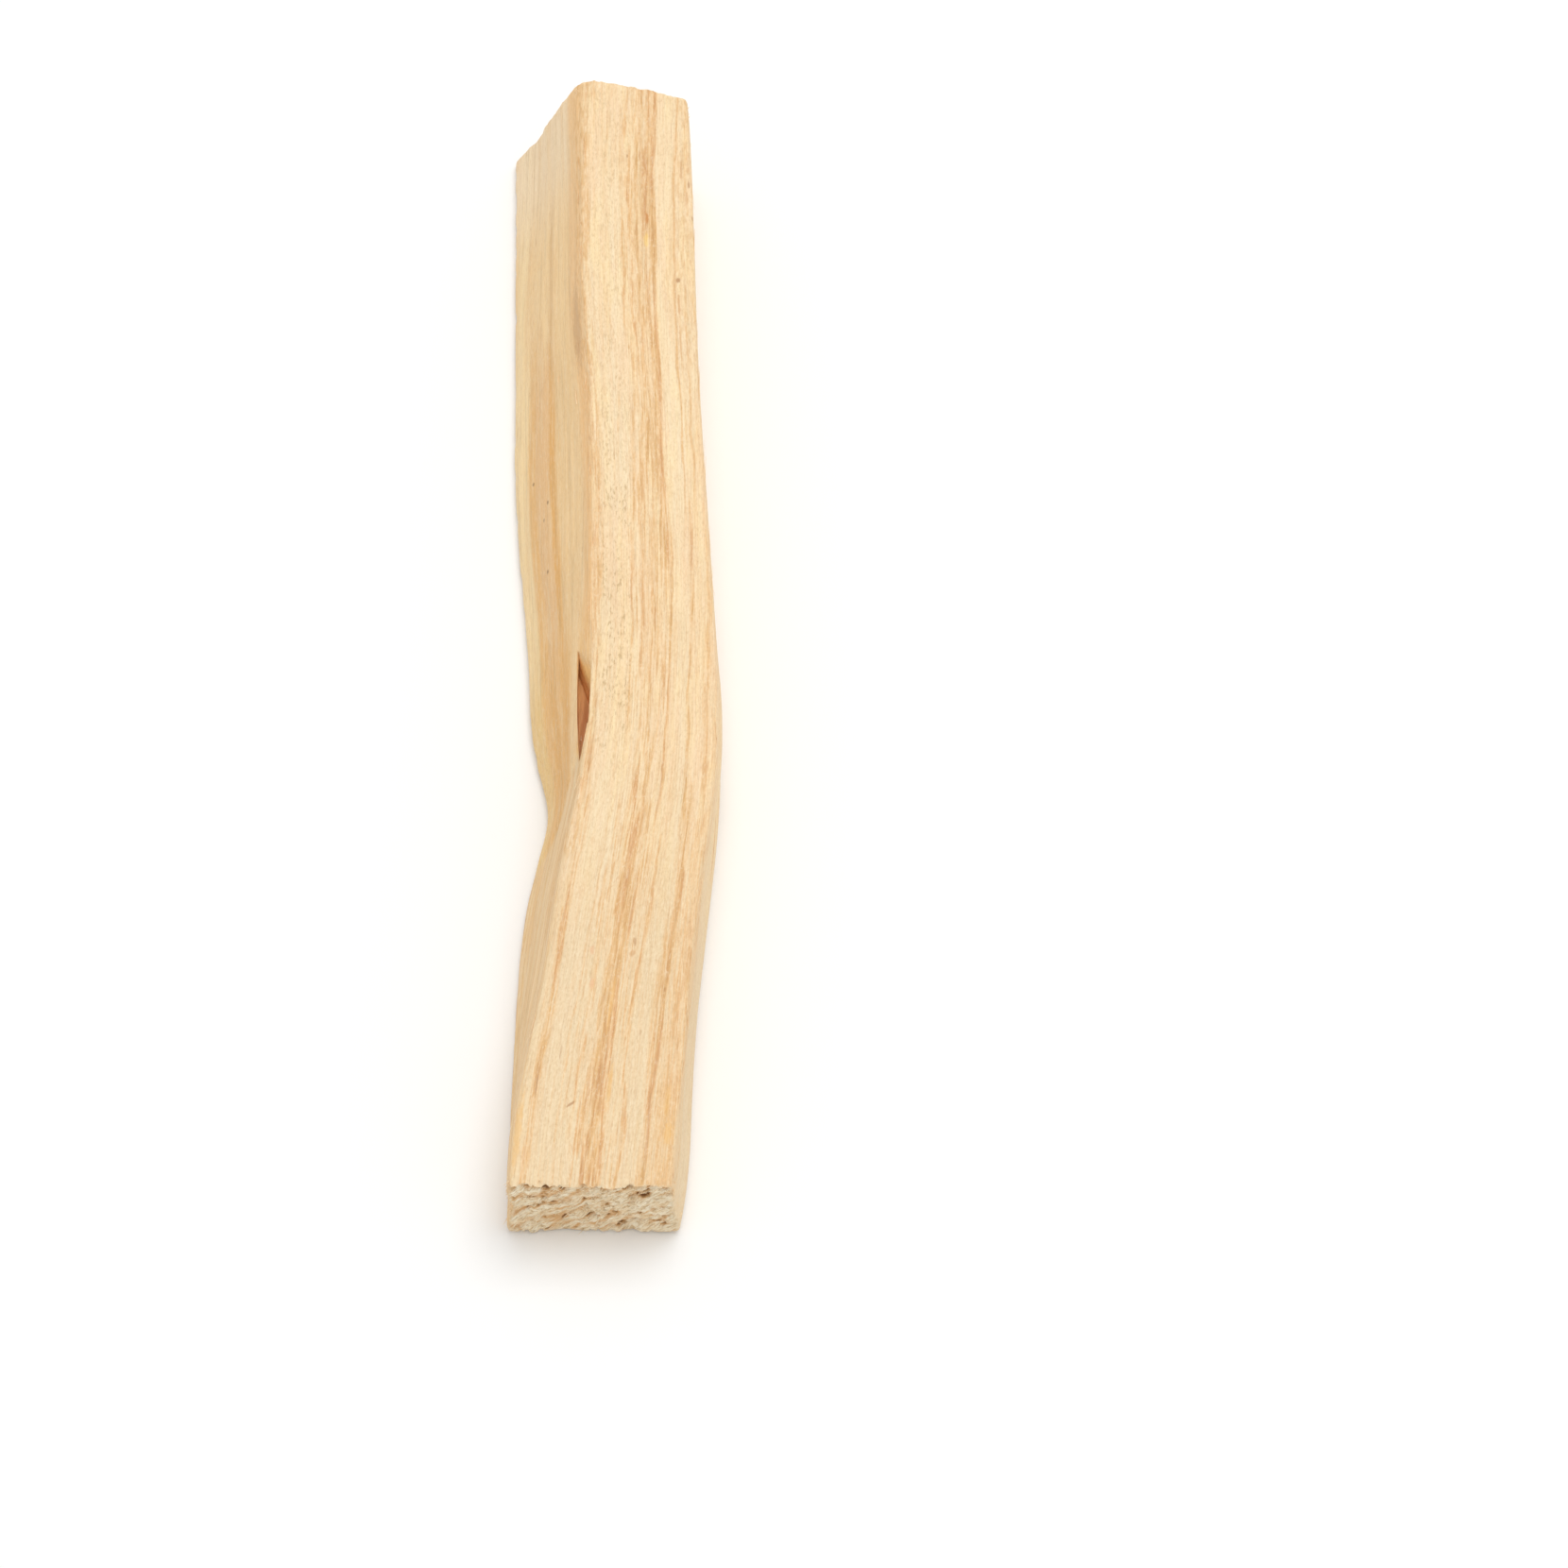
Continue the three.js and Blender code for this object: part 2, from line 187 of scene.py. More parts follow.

# Hollows in the thin end's cut where tufts of fibre pulled out, as [x, z, half width, how dark]
# How dark is partly the hollow's own brown and partly painted shade
THIN_END_HOLLOWS = [
    (-5.49, 5.71, 0.24, 0.9), (-6.88, 7.5, 0.24, 0.7), (-6.71, 4.59, 0.2, 0.6), (-6.85, 3.6, 0.17, 0.5),
    (-3.29, 7.6, 0.18, 0.5), (-5.11, 7.5, 0.2, 0.5), (-1.01, 2.34, 0.2, 0.8), (-0.5, 2.2, 0.13, 0.5),
    (0.21, 4.43, 0.15, 0.5), (1.96, 4.59, 0.2, 0.6), (2.16, 5.71, 0.18, 0.6), (3.13, 5.87, 0.24, 0.9),
    (3.39, 6.74, 0.2, 0.7), (4.46, 6.99, 0.26, 0.8), (1.31, 1.04, 0.28, 1.0), (2.48, 1.69, 0.22, 0.9),
    (2.8, 2.05, 0.13, 0.5), (4.66, 1.79, 0.16, 0.6), (-2.33, 5.39, 0.12, 0.3), (-0.4, 5.71, 0.12, 0.3),
    (0.9, 3.3, 0.14, 0.5), (-3.6, 5.6, 0.12, 0.3),
]

# Fibres left standing on the cuts, round them, and along the upper arrises. Of two numbers, each
# fibre's own lies between them. An end share is how much a fibre is coloured as end grain.
FIBRE_PLACE_SEED = 97
CUT_FIBRES = 260
CUT_FIBRE_PLACE = (0.1, 0.96)
CUT_FIBRE_LEAN = (0.2, 0.7)
CUT_FIBRE_SWAY = 0.2
CUT_FIBRE_LENGTH = (0.25, 0.7)
CUT_FIBRE_GIRTH = (0.025, 0.05)
CUT_FIBRE_END_SHARE = 0.9
EDGE_FIBRES = 170
LOWEST_FIBRE = 0.5
EDGE_FIBRE_LEAN = (-0.1, 0.4)
EDGE_FIBRE_SWAY = 0.3
EDGE_FIBRE_SUNK = 0.06
EDGE_FIBRE_SHIFT = (-0.5, 0.25)
EDGE_FIBRE_LENGTH = (0.2, 0.6)
EDGE_FIBRE_GIRTH = (0.02, 0.045)
EDGE_FIBRE_END_SHARE = 0.5
ARRIS_FIBRES = 70
ARRIS_FIBRE_STEPS = (-3, 4)
ARRIS_FIBRE_ROWS = 3
ARRIS_FIBRE_LEAN = (0.01, 0.09)
ARRIS_FIBRE_SUNK = 0.03
ARRIS_FIBRE_LENGTH = (0.8, 3.4)
ARRIS_FIBRE_GIRTH = (0.02, 0.06)
SPLINTER_LEAN = 0.16
FIBRE_ROOM = 0.03
FIBRE_BEND = 2.5
FIBRE_TIP = 0.25
FIBRE_SIDES = 4
FIBRE_PIECES = 3
FIBRE_SPIN_SEED = 5

# Single pale splinters that lift off the left face and in the split, as [x, y, length, half thickness]
SPLINTERS = [
    (-3.05, 20.1, 1.5, 0.06),
    (-2.93, 24.7, 1.0, 0.05),
    (-4.65, 23.3, 0.9, 0.05),
    (-2.3, -10.0, 0.6, 0.05),
]

# Floor, light and camera
FLOOR_REACH = 900
FLOOR_DROP = 0.05
FLOOR_TONE = (0.95, 0.95, 0.94, 1)
FLOOR_ROUGHNESS = 0.9
ROOM_GLOW = 0.7
WINDOW_SIZE = 0.9
WINDOW_POWER = 5.8
WINDOW_PLACE = (0.2, 0.25, 1.05)
CAMERA_AIM = Vector((13.62, -10.43, 0.0)) * MM
CAMERA_ELEVATION = math.radians(60)
CAMERA_DISTANCE = 520 * MM
CAMERA_LENS = 150.87
SENSOR = 36.0


# Shapes

def noise(points, seed=0.0):
    """Smooth lattice noise between -1 and 1 at (n, 3) points."""
    points = np.asarray(points, float) + seed * 17.31
    cell = np.floor(points).astype(np.int64)
    share = points - cell
    share = share * share * share * (share * (share * 6 - 15) + 10)
    total = np.zeros(len(points))
    for corner in range(8):
        offset = np.array([corner & 1, corner >> 1 & 1, corner >> 2 & 1])
        weight = np.prod(np.where(offset, share, 1 - share), axis=1)
        x, y, z = (cell + offset).T
        mixed = ((x * 73856093) ^ (y * 19349663) ^ (z * 83492791)) & 0x7FFFFFFF
        mixed = ((mixed ^ mixed >> 13) * 1274126177) & 0x7FFFFFFF
        mixed = ((mixed ^ mixed >> 15) * 668265263) & 0x7FFFFFFF
        total += weight * ((mixed >> 8 & 0xFFFF) / 32767.5 - 1)
    return total


def line_noise(places, seed):
    """Smooth noise along a line."""
    return noise(np.column_stack([places, np.full((len(places), 2), 0.5)]), seed)


def flat_noise(x, y, size, seed):
    """Smooth noise over a plane, with lumps of about this size."""
    return noise(np.column_stack([x / size[0], y / size[1], np.full(len(x), 0.5)]), seed)


def smooth_step(value, low, high):
    share = np.clip((value - low) / (high - low), 0, 1)
    return share * share * (3 - 2 * share)


def smoothed(values, radius, axis=0, closed=False):
    """Values averaged along an axis with a bell of that many steps."""
    reach = math.ceil(3 * radius)
    bell = np.exp(-0.5 * (np.arange(-reach, reach + 1) / radius) ** 2)
    bell /= bell.sum()
    pads = [(0, 0)] * values.ndim
    pads[axis] = (reach, reach)
    how = {"mode": "wrap"} if closed else {"mode": "reflect", "reflect_type": "odd"}
    padded = np.pad(values, pads, **how)
    return np.apply_along_axis(lambda line: np.convolve(line, bell, "valid"), axis, padded)


def turned_to_rings(across, up):
    """Places on a cut as they lie along the rings and over them."""
    cosine, sine = math.cos(RING_SLANT), math.sin(RING_SLANT)
    return across * cosine + up * sine, up * cosine - across * sine


def slanted(x, y, z):
    """Where a point of a row at y lies once the thick end's cut is slanted."""
    fade = smooth_step(y, HALF_LENGTH - SLANT_REACH, HALF_LENGTH)
    to_the_right = THICK_END_SLANT * np.maximum(0, x - SLANT_STARTS_AT)
    return y - fade * (to_the_right + THICK_END_LEAN * np.maximum(0, THICK_END_HEIGHT - z))


def packed_solid():
    """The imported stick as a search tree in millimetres."""
    form = bmesh.new()
    form.from_mesh(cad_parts["stick"].data)
    bmesh.ops.remove_doubles(form, verts=form.verts, dist=0.001 * MM)
    for vert in form.verts:
        vert.co /= MM
    tree = BVHTree.FromBMesh(form)
    form.free()
    return tree


def seen_from_above(tree, x, y):
    """The point of the surface below a place, and the way that it faces."""
    return tree.ray_cast(Vector((x, y, RAY_START)), Vector((0, 0, -1)))[:2]


def seen_from_end(tree, x, z, end):
    """The point of the surface that a ray along the stick meets from one end, or None."""
    return tree.ray_cast(Vector((x, end * BEYOND_ENDS, z)), Vector((0, -end, 0)))[0]


def hull_distances(angles, distances):
    """How far the convex hull of a row lies along the same rays as the row's own points."""
    points = distances[:, None] * np.column_stack([np.cos(angles), np.sin(angles)])
    order = np.lexsort(points.T)
    corners = []
    for run in (order, order[::-1]):
        chain = []
        for i in run:
            while len(chain) > 1:
                a, b = points[chain[-1]] - points[chain[-2]], points[i] - points[chain[-2]]
                if a[0] * b[1] - a[1] * b[0] > 0:
                    break
                chain.pop()
            chain.append(i)
        corners += chain[:-1]
    corners = np.unique(corners)
    place = np.searchsorted(corners, np.arange(len(angles)), "right")
    low, high = corners[place - 1], corners[place % len(corners)]
    span = (angles[high] - angles[low]) % (2 * math.pi)
    step = (angles - angles[low]) % (2 * math.pi)
    near, far = distances[low], distances[high]
    chord = near * np.sin(step) + far * np.sin(span - step)
    on_hull = (low == np.arange(len(angles))) | (chord < 1e-9)
    return np.where(on_hull, distances, near * far * np.sin(span) / np.where(on_hull, 1, chord))


def cast_row(tree, y, angles):
    """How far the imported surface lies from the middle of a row, along rays in every direction."""
    low = PROBE_HEIGHT
    right = tree.ray_cast(Vector((RAY_START, slanted(HIGH[0], y, low), low)), Vector((-1, 0, 0)))[0].x
    left = tree.ray_cast(Vector((-RAY_START, slanted(LOW[0], y, low), low)), Vector((1, 0, 0)))[0].x
    over = (left + right) / 2
    top = seen_from_above(tree, over, slanted(over, y, low))[0].z
    middle = np.array([over + RAY_MIDDLE_SHIFT, top / 2])
    distances = np.full(len(angles), FIRST_REACH)
    for _ in range(SLANTED_ROW_PASSES if y > HALF_LENGTH - SLANT_REACH else 1):
        reached = middle[:, None] + distances * np.array([np.cos(angles), np.sin(angles)])
        ray_y = slanted(reached[0], y, reached[1])
        for i, angle in enumerate(angles):
            along = Vector((math.cos(angle), 0, math.sin(angle)))
            origin = Vector((middle[0], ray_y[i], middle[1]))
            hit = tree.ray_cast(origin + along * RAY_START, -along)[0]
            if hit:
                distances[i] = (hit - origin).length
    return distances, middle


def long_faces(tree):
    """The stick's long faces without the split, as (rows, columns, 3) points. Columns start at the
    upper right arris and run across the top, down the left face, under, and up the right face."""
    angles = np.arange(RAYS) * 2 * math.pi / RAYS
    places = np.linspace(LAST_ROW_INSET - HALF_LENGTH, HALF_LENGTH - LAST_ROW_INSET, ROWS)
    beside_split = (places > SPLIT_TIP[1] - SPLIT_MARGIN) & (places < SPLIT_FAR_CORNER[1] + SPLIT_MARGIN)
    upper_left = (angles > SPLIT_RAYS[0]) & (angles < SPLIT_RAYS[1])
    towards = np.array([[1, 1], [-1, 1], [-1, -1], [1, -1]])
    arrises = []
    rings = []
    for y, split in zip(places, beside_split):
        distances, middle = cast_row(tree, y, angles)
        if split:
            hull = hull_distances(angles, distances)
            mouth = upper_left & (hull - distances > SPLIT_MOUTH_DEPTH)
            distances = np.where(mouth, hull, distances)
        offsets = distances[:, None] * np.column_stack([np.cos(angles), np.sin(angles)])
        arrises.append([angles[np.argmax(offsets @ corner)] for corner in towards])
        rings.append((distances, middle))
    arrises = smoothed(np.unwrap(np.array(arrises), axis=0), ARRIS_SMOOTHING_ROWS)
    rows = []
    for y, corners, (distances, middle) in zip(places, arrises, rings):
        row = []
        for side, steps in enumerate([ACROSS, DOWN, ACROSS, DOWN]):
            start, end = corners[side], corners[(side + 1) % 4]
            end += 2 * math.pi * (end < start)
            fine = np.linspace(start, end, POINTS_PER_STEP * steps + 1)
            radii = np.interp(fine, np.concatenate([angles, angles + 2 * math.pi]), np.tile(distances, 2))
            x = middle[0] + radii * np.cos(fine)
            z = middle[1] + radii * np.sin(fine)
            run = np.concatenate([[0], np.cumsum(np.hypot(np.diff(x), np.diff(z)))])
            even = np.linspace(0, run[-1], steps + 1)[:-1]
            row.append(np.column_stack([np.interp(even, run, x), np.interp(even, run, z)]))
        row = np.concatenate(row)
        rows.append(np.column_stack([row[:, 0], slanted(row[:, 0], y, row[:, 1]), row[:, 1]]))
    rows = smoothed(np.array(rows), ACROSS_SMOOTHING_STEPS, axis=1, closed=True)
    return smoothed(rows, ALONG_SMOOTHING_ROWS, axis=0)


class GrainLines:
    """Lines that the grain follows: the left arris and the top, read at any y."""

    def __init__(self, rows):
        left, right = rows[:, ACROSS], rows[:, 0]
        self.y = left[:, 1]
        self.left = smoothed(left[:, 0], GRAIN_SMOOTHING_ROWS)
        self.width = smoothed(right[:, 0] - left[:, 0], GRAIN_SMOOTHING_ROWS)
        self.top = smoothed((left[:, 2] + right[:, 2]) / 2, GRAIN_SMOOTHING_ROWS)

    def of(self, points):
        """Each point as its place across, along and down the grain."""
        x, y, z = np.asarray(points, float).reshape(-1, 3).T
        spread = np.minimum(1, GRAIN_WIDTH / np.interp(y, self.y, self.width))
        across = (x - np.interp(y, self.y, self.left)) * spread
        return np.column_stack([across, y, z - np.interp(y, self.y, self.top)])


def outward(rows):
    """Unit vectors pointing out of each row, in its own plane."""
    step = np.roll(rows, -1, axis=1) - np.roll(rows, 1, axis=1)
    normal = np.stack([step[..., 2], np.zeros(step.shape[:2]), -step[..., 0]], axis=-1)
    return normal / np.maximum(np.linalg.norm(normal, axis=-1, keepdims=True), 1e-9)


def with_fibre_relief(rows, lines):
    """The long faces with the low ridges that splitting leaves between fibres, and chipped arrises."""
    grain = lines.of(rows)
    ridges = noise(grain / FIBRE_SIZE, 1) * FIBRE_RELIEF
    ridges += noise(grain / FINE_FIBRE_SIZE, 2) * FINE_FIBRE_RELIEF
    ridges = ridges.reshape(rows.shape[:2])
    column = np.arange(COLUMNS)
    for arris, seed in ((0, 3), (ACROSS, 4), (ACROSS + DOWN, 5), (2 * ACROSS + DOWN, 6)):
        apart = np.abs((column - arris + COLUMNS // 2) % COLUMNS - COLUMNS // 2)
        bite = np.maximum(0, line_noise(rows[:, arris, 1] / CHIP_LENGTH, seed) - CHIP_THRESHOLD)
        ridges -= CHIP_DEPTH * bite[:, None] * np.exp(-(apart / CHIP_STEPS) ** 2)
    from_facet = (grain[:, 1] - FACET_EDGE_Y - FACET_EDGE_SLOPE * grain[:, 2]).reshape(rows.shape[:2])
    on_left = np.minimum(column - ACROSS, ACROSS + DOWN - column)
    tongue = smooth_step(from_facet, 0, TONGUE_STEP_WIDTH) * smooth_step(from_facet, *TONGUE_FADES)
    ridges += TONGUE_STEP * tongue * smooth_step(on_left, *TONGUE_STEPS_IN)
    return rows + outward(rows) * ridges[..., None]


def cut_faces_y(tree, x, z, end):
    """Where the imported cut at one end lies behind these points, or nan where they miss it."""
    found = np.full(len(x), np.nan)
    for i in range(len(x)):
        hit = seen_from_end(tree, x[i], z[i], end)
        if hit and abs(hit.y) > HALF_LENGTH - CUT_REACH:
            found[i] = hit.y
    return found


def edge_rows(tree, row, end):
    """Two rows that close a long face against its cut: one just behind the edge, and the ragged edge."""
    middle = row.mean(axis=0)
    inward = middle - row
    inward[:, 1] = 0
    inward /= np.linalg.norm(inward, axis=1, keepdims=True)
    under = row + inward * EDGE_PROBE_INSET
    base = cut_faces_y(tree, under[:, 0], under[:, 2], end)
    known = np.flatnonzero(~np.isnan(base))
    base = np.interp(np.arange(len(row)), known, base[known], period=len(row))
    base = smoothed(base, EDGE_SMOOTHING[end], closed=True)
    torn = noise(row / EDGE_TEAR_SIZE, 7 + end)
    torn = torn + FINE_EDGE_TEAR_SHARE * noise(row / FINE_EDGE_TEAR_SIZE, 9 + end)
    ragged = EDGE_RAGGED[end] * np.clip(torn + EDGE_TEAR_SHIFT, 0, EDGE_TEAR_LIMIT)
    wear = EDGE_WEAR * (1 + EDGE_WEAR_VARIES * noise(row / EDGE_WEAR_SIZE, 11 + end))
    edge = row + inward * wear[:, None]
    edge[:, 1] = base - end * ragged
    behind = row + inward * BEHIND_EDGE_INSET
    behind[:, 1] = row[:, 1] * BEHIND_EDGE_SHARES[0] + edge[:, 1] * BEHIND_EDGE_SHARES[1]
    return behind, edge


def cut_grid(edge):
    """Columns of the edge that border a grid over the cut, and the places of the grid's points."""
    top = np.arange(ACROSS, -1, -1)
    left = ACROSS + np.arange(DOWN + 1)
    bottom = ACROSS + DOWN + np.arange(ACROSS + 1)
    right = (COLUMNS - np.arange(DOWN + 1)) % COLUMNS
    s = np.linspace(0, 1, ACROSS + 1)[None, :, None]
    t = np.linspace(0, 1, DOWN + 1)[:, None, None]
    between_faces = (1 - t) * edge[top][None] + t * edge[bottom][None]
    between_sides = (1 - s) * edge[left][:, None] + s * edge[right][:, None]
    corners = (1 - t) * ((1 - s) * edge[top[0]] + s * edge[top[-1]])
    corners = corners + t * ((1 - s) * edge[bottom[0]] + s * edge[bottom[-1]])
    return (top, bottom, left, right), between_faces + between_sides - corners


def end_hollows(x, z, end, random):
    """Hollows of a cut, as [x, z, half width, how dark]: listed ones, small ones anywhere, and more
    along its top edge, where their darkness paints the shadow under the edge. How dark is partly
    their own brown and partly painted shade."""
    hollows = list(THIN_END_HOLLOWS) if end < 0 else []
    for _ in range(SMALL_HOLLOWS):
        centre = random.uniform([x.min(), z.min()], [x.max(), z.max()])
        hollows.append((*centre, random.uniform(*SMALL_HOLLOW_WIDTH),
                        random.uniform(*SMALL_HOLLOW_ROOT_DARK) ** 2))
    for _ in range(EDGE_HOLLOWS):
        centre_x = random.uniform(x.min(), x.max())
        top = z[np.abs(x - centre_x) < EDGE_HOLLOW_REACH].max()
        hollows.append((centre_x, top - random.uniform(*EDGE_HOLLOW_DROP),
                        random.uniform(*EDGE_HOLLOW_WIDTH), random.uniform(*EDGE_HOLLOW_DARK)))
    return hollows


def torn_end(x, z, end, random):
    """How far torn end grain stands off its plain cut, with combed ridges, tufts and hollows, and
    how dark each point is painted in a hollow: partly the hollow's own brown and partly painted
    shade, less on the comb's ridges."""
    along, over = turned_to_rings(x, z)
    over = over + COMB_SWAY * flat_noise(along, over, COMB_SWAY_SIZE, 12 + end)
    comb = flat_noise(along, over, COMB_SIZE, 13 + end)
    fine_comb = flat_noise(along, over, FINE_COMB_SIZE, 14 + end)
    tufts = flat_noise(x, z, TUFT_SIZE, 15 + end)
    ragged = HOLLOW_RAGGED * flat_noise(x, z, HOLLOW_RAGGED_SIZE, 16 + end)
    dark = np.zeros(len(x))
    for centre_x, centre_z, width, darkness in end_hollows(x, z, end, random):
        lengthwise, widthwise = turned_to_rings(x - centre_x, z - centre_z)
        apart = np.hypot(lengthwise / HOLLOW_STRETCH, widthwise) / width + ragged
        dark = np.maximum(dark, darkness * smooth_step(apart, *HOLLOW_RIM))
    relief = COMB_RELIEF * comb + FINE_COMB_RELIEF * fine_comb + TUFT_RELIEF * tufts
    return relief - HOLLOW_DEPTH * dark, np.clip(dark - COMB_SHADE * comb, 0, 1)


def stick_form(tree, rows):
    """All points and faces of the stick before it is split, and for each point how much it lies on
    a cut, how dark it is painted there (partly the hollows' own brown, partly painted shade), and
    how much it lies on the left face."""
    near_behind, near_edge = edge_rows(tree, rows[0], -1)
    far_behind, far_edge = edge_rows(tree, rows[-1], 1)
    rows = np.concatenate([[near_edge, near_behind], rows, [far_behind, far_edge]])
    points = [rows.reshape(-1, 3)]
    count = rows.shape[0] * COLUMNS
    place = np.arange(count).reshape(-1, COLUMNS)
    after = np.roll(place, -1, axis=1)
    faces = [np.stack([place[:-1], place[1:], after[1:], after[:-1]], axis=-1).reshape(-1, 4)]
    on_cut = [np.zeros(count)]
    on_cut[0][place[[0, -1]]] = RIM_SHARE
    hollows = [np.zeros(count)]
    column = np.arange(COLUMNS)
    left = smooth_step(column, ACROSS - 1.5, ACROSS + 1.0)
    left *= smooth_step(column, ACROSS + DOWN + UNDERSIDE_REACH, ACROSS + DOWN)
    on_left = [np.tile(left, rows.shape[0])]
    random = np.random.default_rng(HOLLOW_SEED)
    for edge, ring, end in ((near_edge, place[0], -1), (far_edge, place[-1], 1)):
        (top, bottom, near_left, near_right), grid = cut_grid(edge)
        inner = grid[1:-1, 1:-1].reshape(-1, 3)
        packed = cut_faces_y(tree, inner[:, 0], inner[:, 2], end)
        packed = np.where(np.isnan(packed), inner[:, 1], packed)
        border = np.minimum(np.arange(1, DOWN)[:, None], DOWN - np.arange(1, DOWN)[:, None])
        side = np.minimum(np.arange(1, ACROSS)[None], ACROSS - np.arange(1, ACROSS)[None])
        inside = smooth_step(np.minimum(border, side), 0, RIM_STEPS).reshape(-1)
        packed = inner[:, 1] + (packed - inner[:, 1]) * PACKED_RELIEF_SHARE
        relief, dark = torn_end(inner[:, 0], inner[:, 2], end, random)
        inner[:, 1] = inner[:, 1] * (1 - inside) + (packed + end * relief) * inside
        numbers = np.empty((DOWN + 1, ACROSS + 1), int)
        numbers[0], numbers[-1] = ring[top], ring[bottom]
        numbers[:, 0], numbers[:, -1] = ring[near_left], ring[near_right]
        numbers[1:-1, 1:-1] = count + np.arange(len(inner)).reshape(DOWN - 1, ACROSS - 1)
        count += len(inner)
        quads = [numbers[:-1, :-1], numbers[1:, :-1], numbers[1:, 1:], numbers[:-1, 1:]]
        faces.append(np.stack(quads, axis=-1).reshape(-1, 4)[:, ::-end])
        points.append(inner)
        on_cut.append(RIM_SHARE + (1 - RIM_SHARE) * inside)
        hollows.append(dark * inside)
        on_left.append(np.zeros(len(inner)))
    values = {"cut": np.concatenate(on_cut), "hollow": np.concatenate(hollows),
              "left": np.concatenate(on_left)}
    return np.clip(np.concatenate(points), LOW, HIGH), np.concatenate(faces), values


def curve_points(controls, steps):
    """A Bezier curve through its control points, without its last point."""
    controls = [np.array(point, float) for point in controls]
    points = []
    for share in np.arange(steps) / steps:
        run = controls
        while len(run) > 1:
            run = [a + (b - a) * share for a, b in zip(run, run[1:])]
        points.append(run[0])
    return points


def split_lean(x, z):
    """How far the split's torn far wall has come in at a depth below the stick's surface."""
    surface = SPLIT_MOUTH_HEIGHT - SPLIT_MOUTH_SLOPE * np.maximum(0, SPLIT_ARRIS_CORNER[0] - x)
    return SPLIT_FAR_LEAN * np.maximum(0, surface - z)


def on_far_wall(points):
    """How much each point lies on the split's far wall, but for a gap beside its left wall. There the
    wall is painted lighter, as painted light.
    """
    x, y, z = points.T
    corners = np.array([SPLIT_FAR_CORNER, SPLIT_ARRIS_CORNER])
    from_wall = y + split_lean(x, z) - np.interp(x, corners[:, 0], corners[:, 1])
    return smooth_step(from_wall, *FAR_WALL_RUN) * smooth_step(x - corners[0, 0], *FAR_WALL_GAP)


def split_form():
    """The wood that the drying split takes away, with fibrous walls, as points and faces."""
    bends = [SPLIT_ARRIS_BENDS[1], SPLIT_ARRIS_BENDS[0]]
    leaf = curve_points([SPLIT_FAR_CORNER, SPLIT_FACE_BEND, SPLIT_TIP], SPLIT_CURVE_STEPS)
    leaf += curve_points([SPLIT_TIP, *bends, SPLIT_ARRIS_CORNER], SPLIT_CURVE_STEPS)
    leaf += curve_points([SPLIT_ARRIS_CORNER, SPLIT_FAR_CORNER], SPLIT_CURVE_STEPS // 4)
    leaf = np.array(leaf)
    middle = (leaf.min(axis=0) + leaf.max(axis=0)) / 2
    step = np.roll(leaf, -1, axis=0) - np.roll(leaf, 1, axis=0)
    away = np.column_stack([step[:, 1], -step[:, 0]])
    away /= np.linalg.norm(away, axis=1, keepdims=True)
    by_far_end = smooth_step(leaf[:, 1], SPLIT_FAR_LEAN_FROM, SPLIT_ARRIS_CORNER[1])
    points = []
    for share in np.linspace(0, 1, SPLIT_LEVELS):
        narrowed = np.array([SPLIT_FLOOR_WIDTH_SHARE, SPLIT_FLOOR_LENGTH_SHARE])
        level = middle + (leaf - middle) * (narrowed + (1 - narrowed) * share)
        z = np.full(len(leaf), SPLIT_FLOOR + (SPLIT_TOP - SPLIT_FLOOR) * share)
        ridges = noise(np.column_stack([level[:, 0], level[:, 1] / 4, z / 0.35]), 19)
        level = level + away * (ridges * SPLIT_WALL_RELIEF)[:, None]
        level[:, 1] -= by_far_end * split_lean(level[:, 0], z)
        points.append(np.column_stack([level, z]))
    points = np.array(points)
    count = len(leaf)
    place = np.arange(points.shape[0] * count).reshape(-1, count)
    after = np.roll(place, -1, axis=1)
    faces = np.stack([place[:-1], after[:-1], after[1:], place[1:]], axis=-1).reshape(-1, 4).tolist()
    return points.reshape(-1, 3), faces + [place[0, ::-1].tolist(), place[-1].tolist()]


def mesh_of(name, points, faces):
    """A new object at the origin from points in millimetres."""
    mesh = bpy.data.meshes.new(name)
    mesh.from_pydata((np.asarray(points) * MM).tolist(), [], [list(map(int, face)) for face in faces])
    mesh.validate()
    piece = bpy.data.objects.new(name, mesh)
    bpy.context.scene.collection.objects.link(piece)
    return piece


def points_of(mesh):
    places = np.empty(len(mesh.vertices) * 3)
    mesh.vertices.foreach_get("co", places)
    return places.reshape(-1, 3) / MM


def finished_mesh(piece):
    """The piece's mesh with its modifiers applied."""
    seen = piece.evaluated_get(bpy.context.evaluated_depsgraph_get())
    return bpy.data.meshes.new_from_object(seen)


def keep_values(mesh, name, values):
    """A value or a vector for each point of the mesh, for its material to read."""
    kind, field = ("FLOAT_VECTOR", "vector") if values.ndim == 2 else ("FLOAT", "value")
    layer = mesh.attributes.new(name, kind, "POINT")
    layer.data.foreach_set(field, values.astype(np.float32).ravel())


def sharpen(mesh, limit):
    """Smooth shading, but for edges that turn by more than a limit."""
    form = bmesh.new()
    form.from_mesh(mesh)
    for face in form.faces:
        face.smooth = True
    for edge in form.edges:
        edge.smooth = len(edge.link_faces) == 2 and edge.calc_face_angle() < limit
    form.to_mesh(mesh)
    form.free()


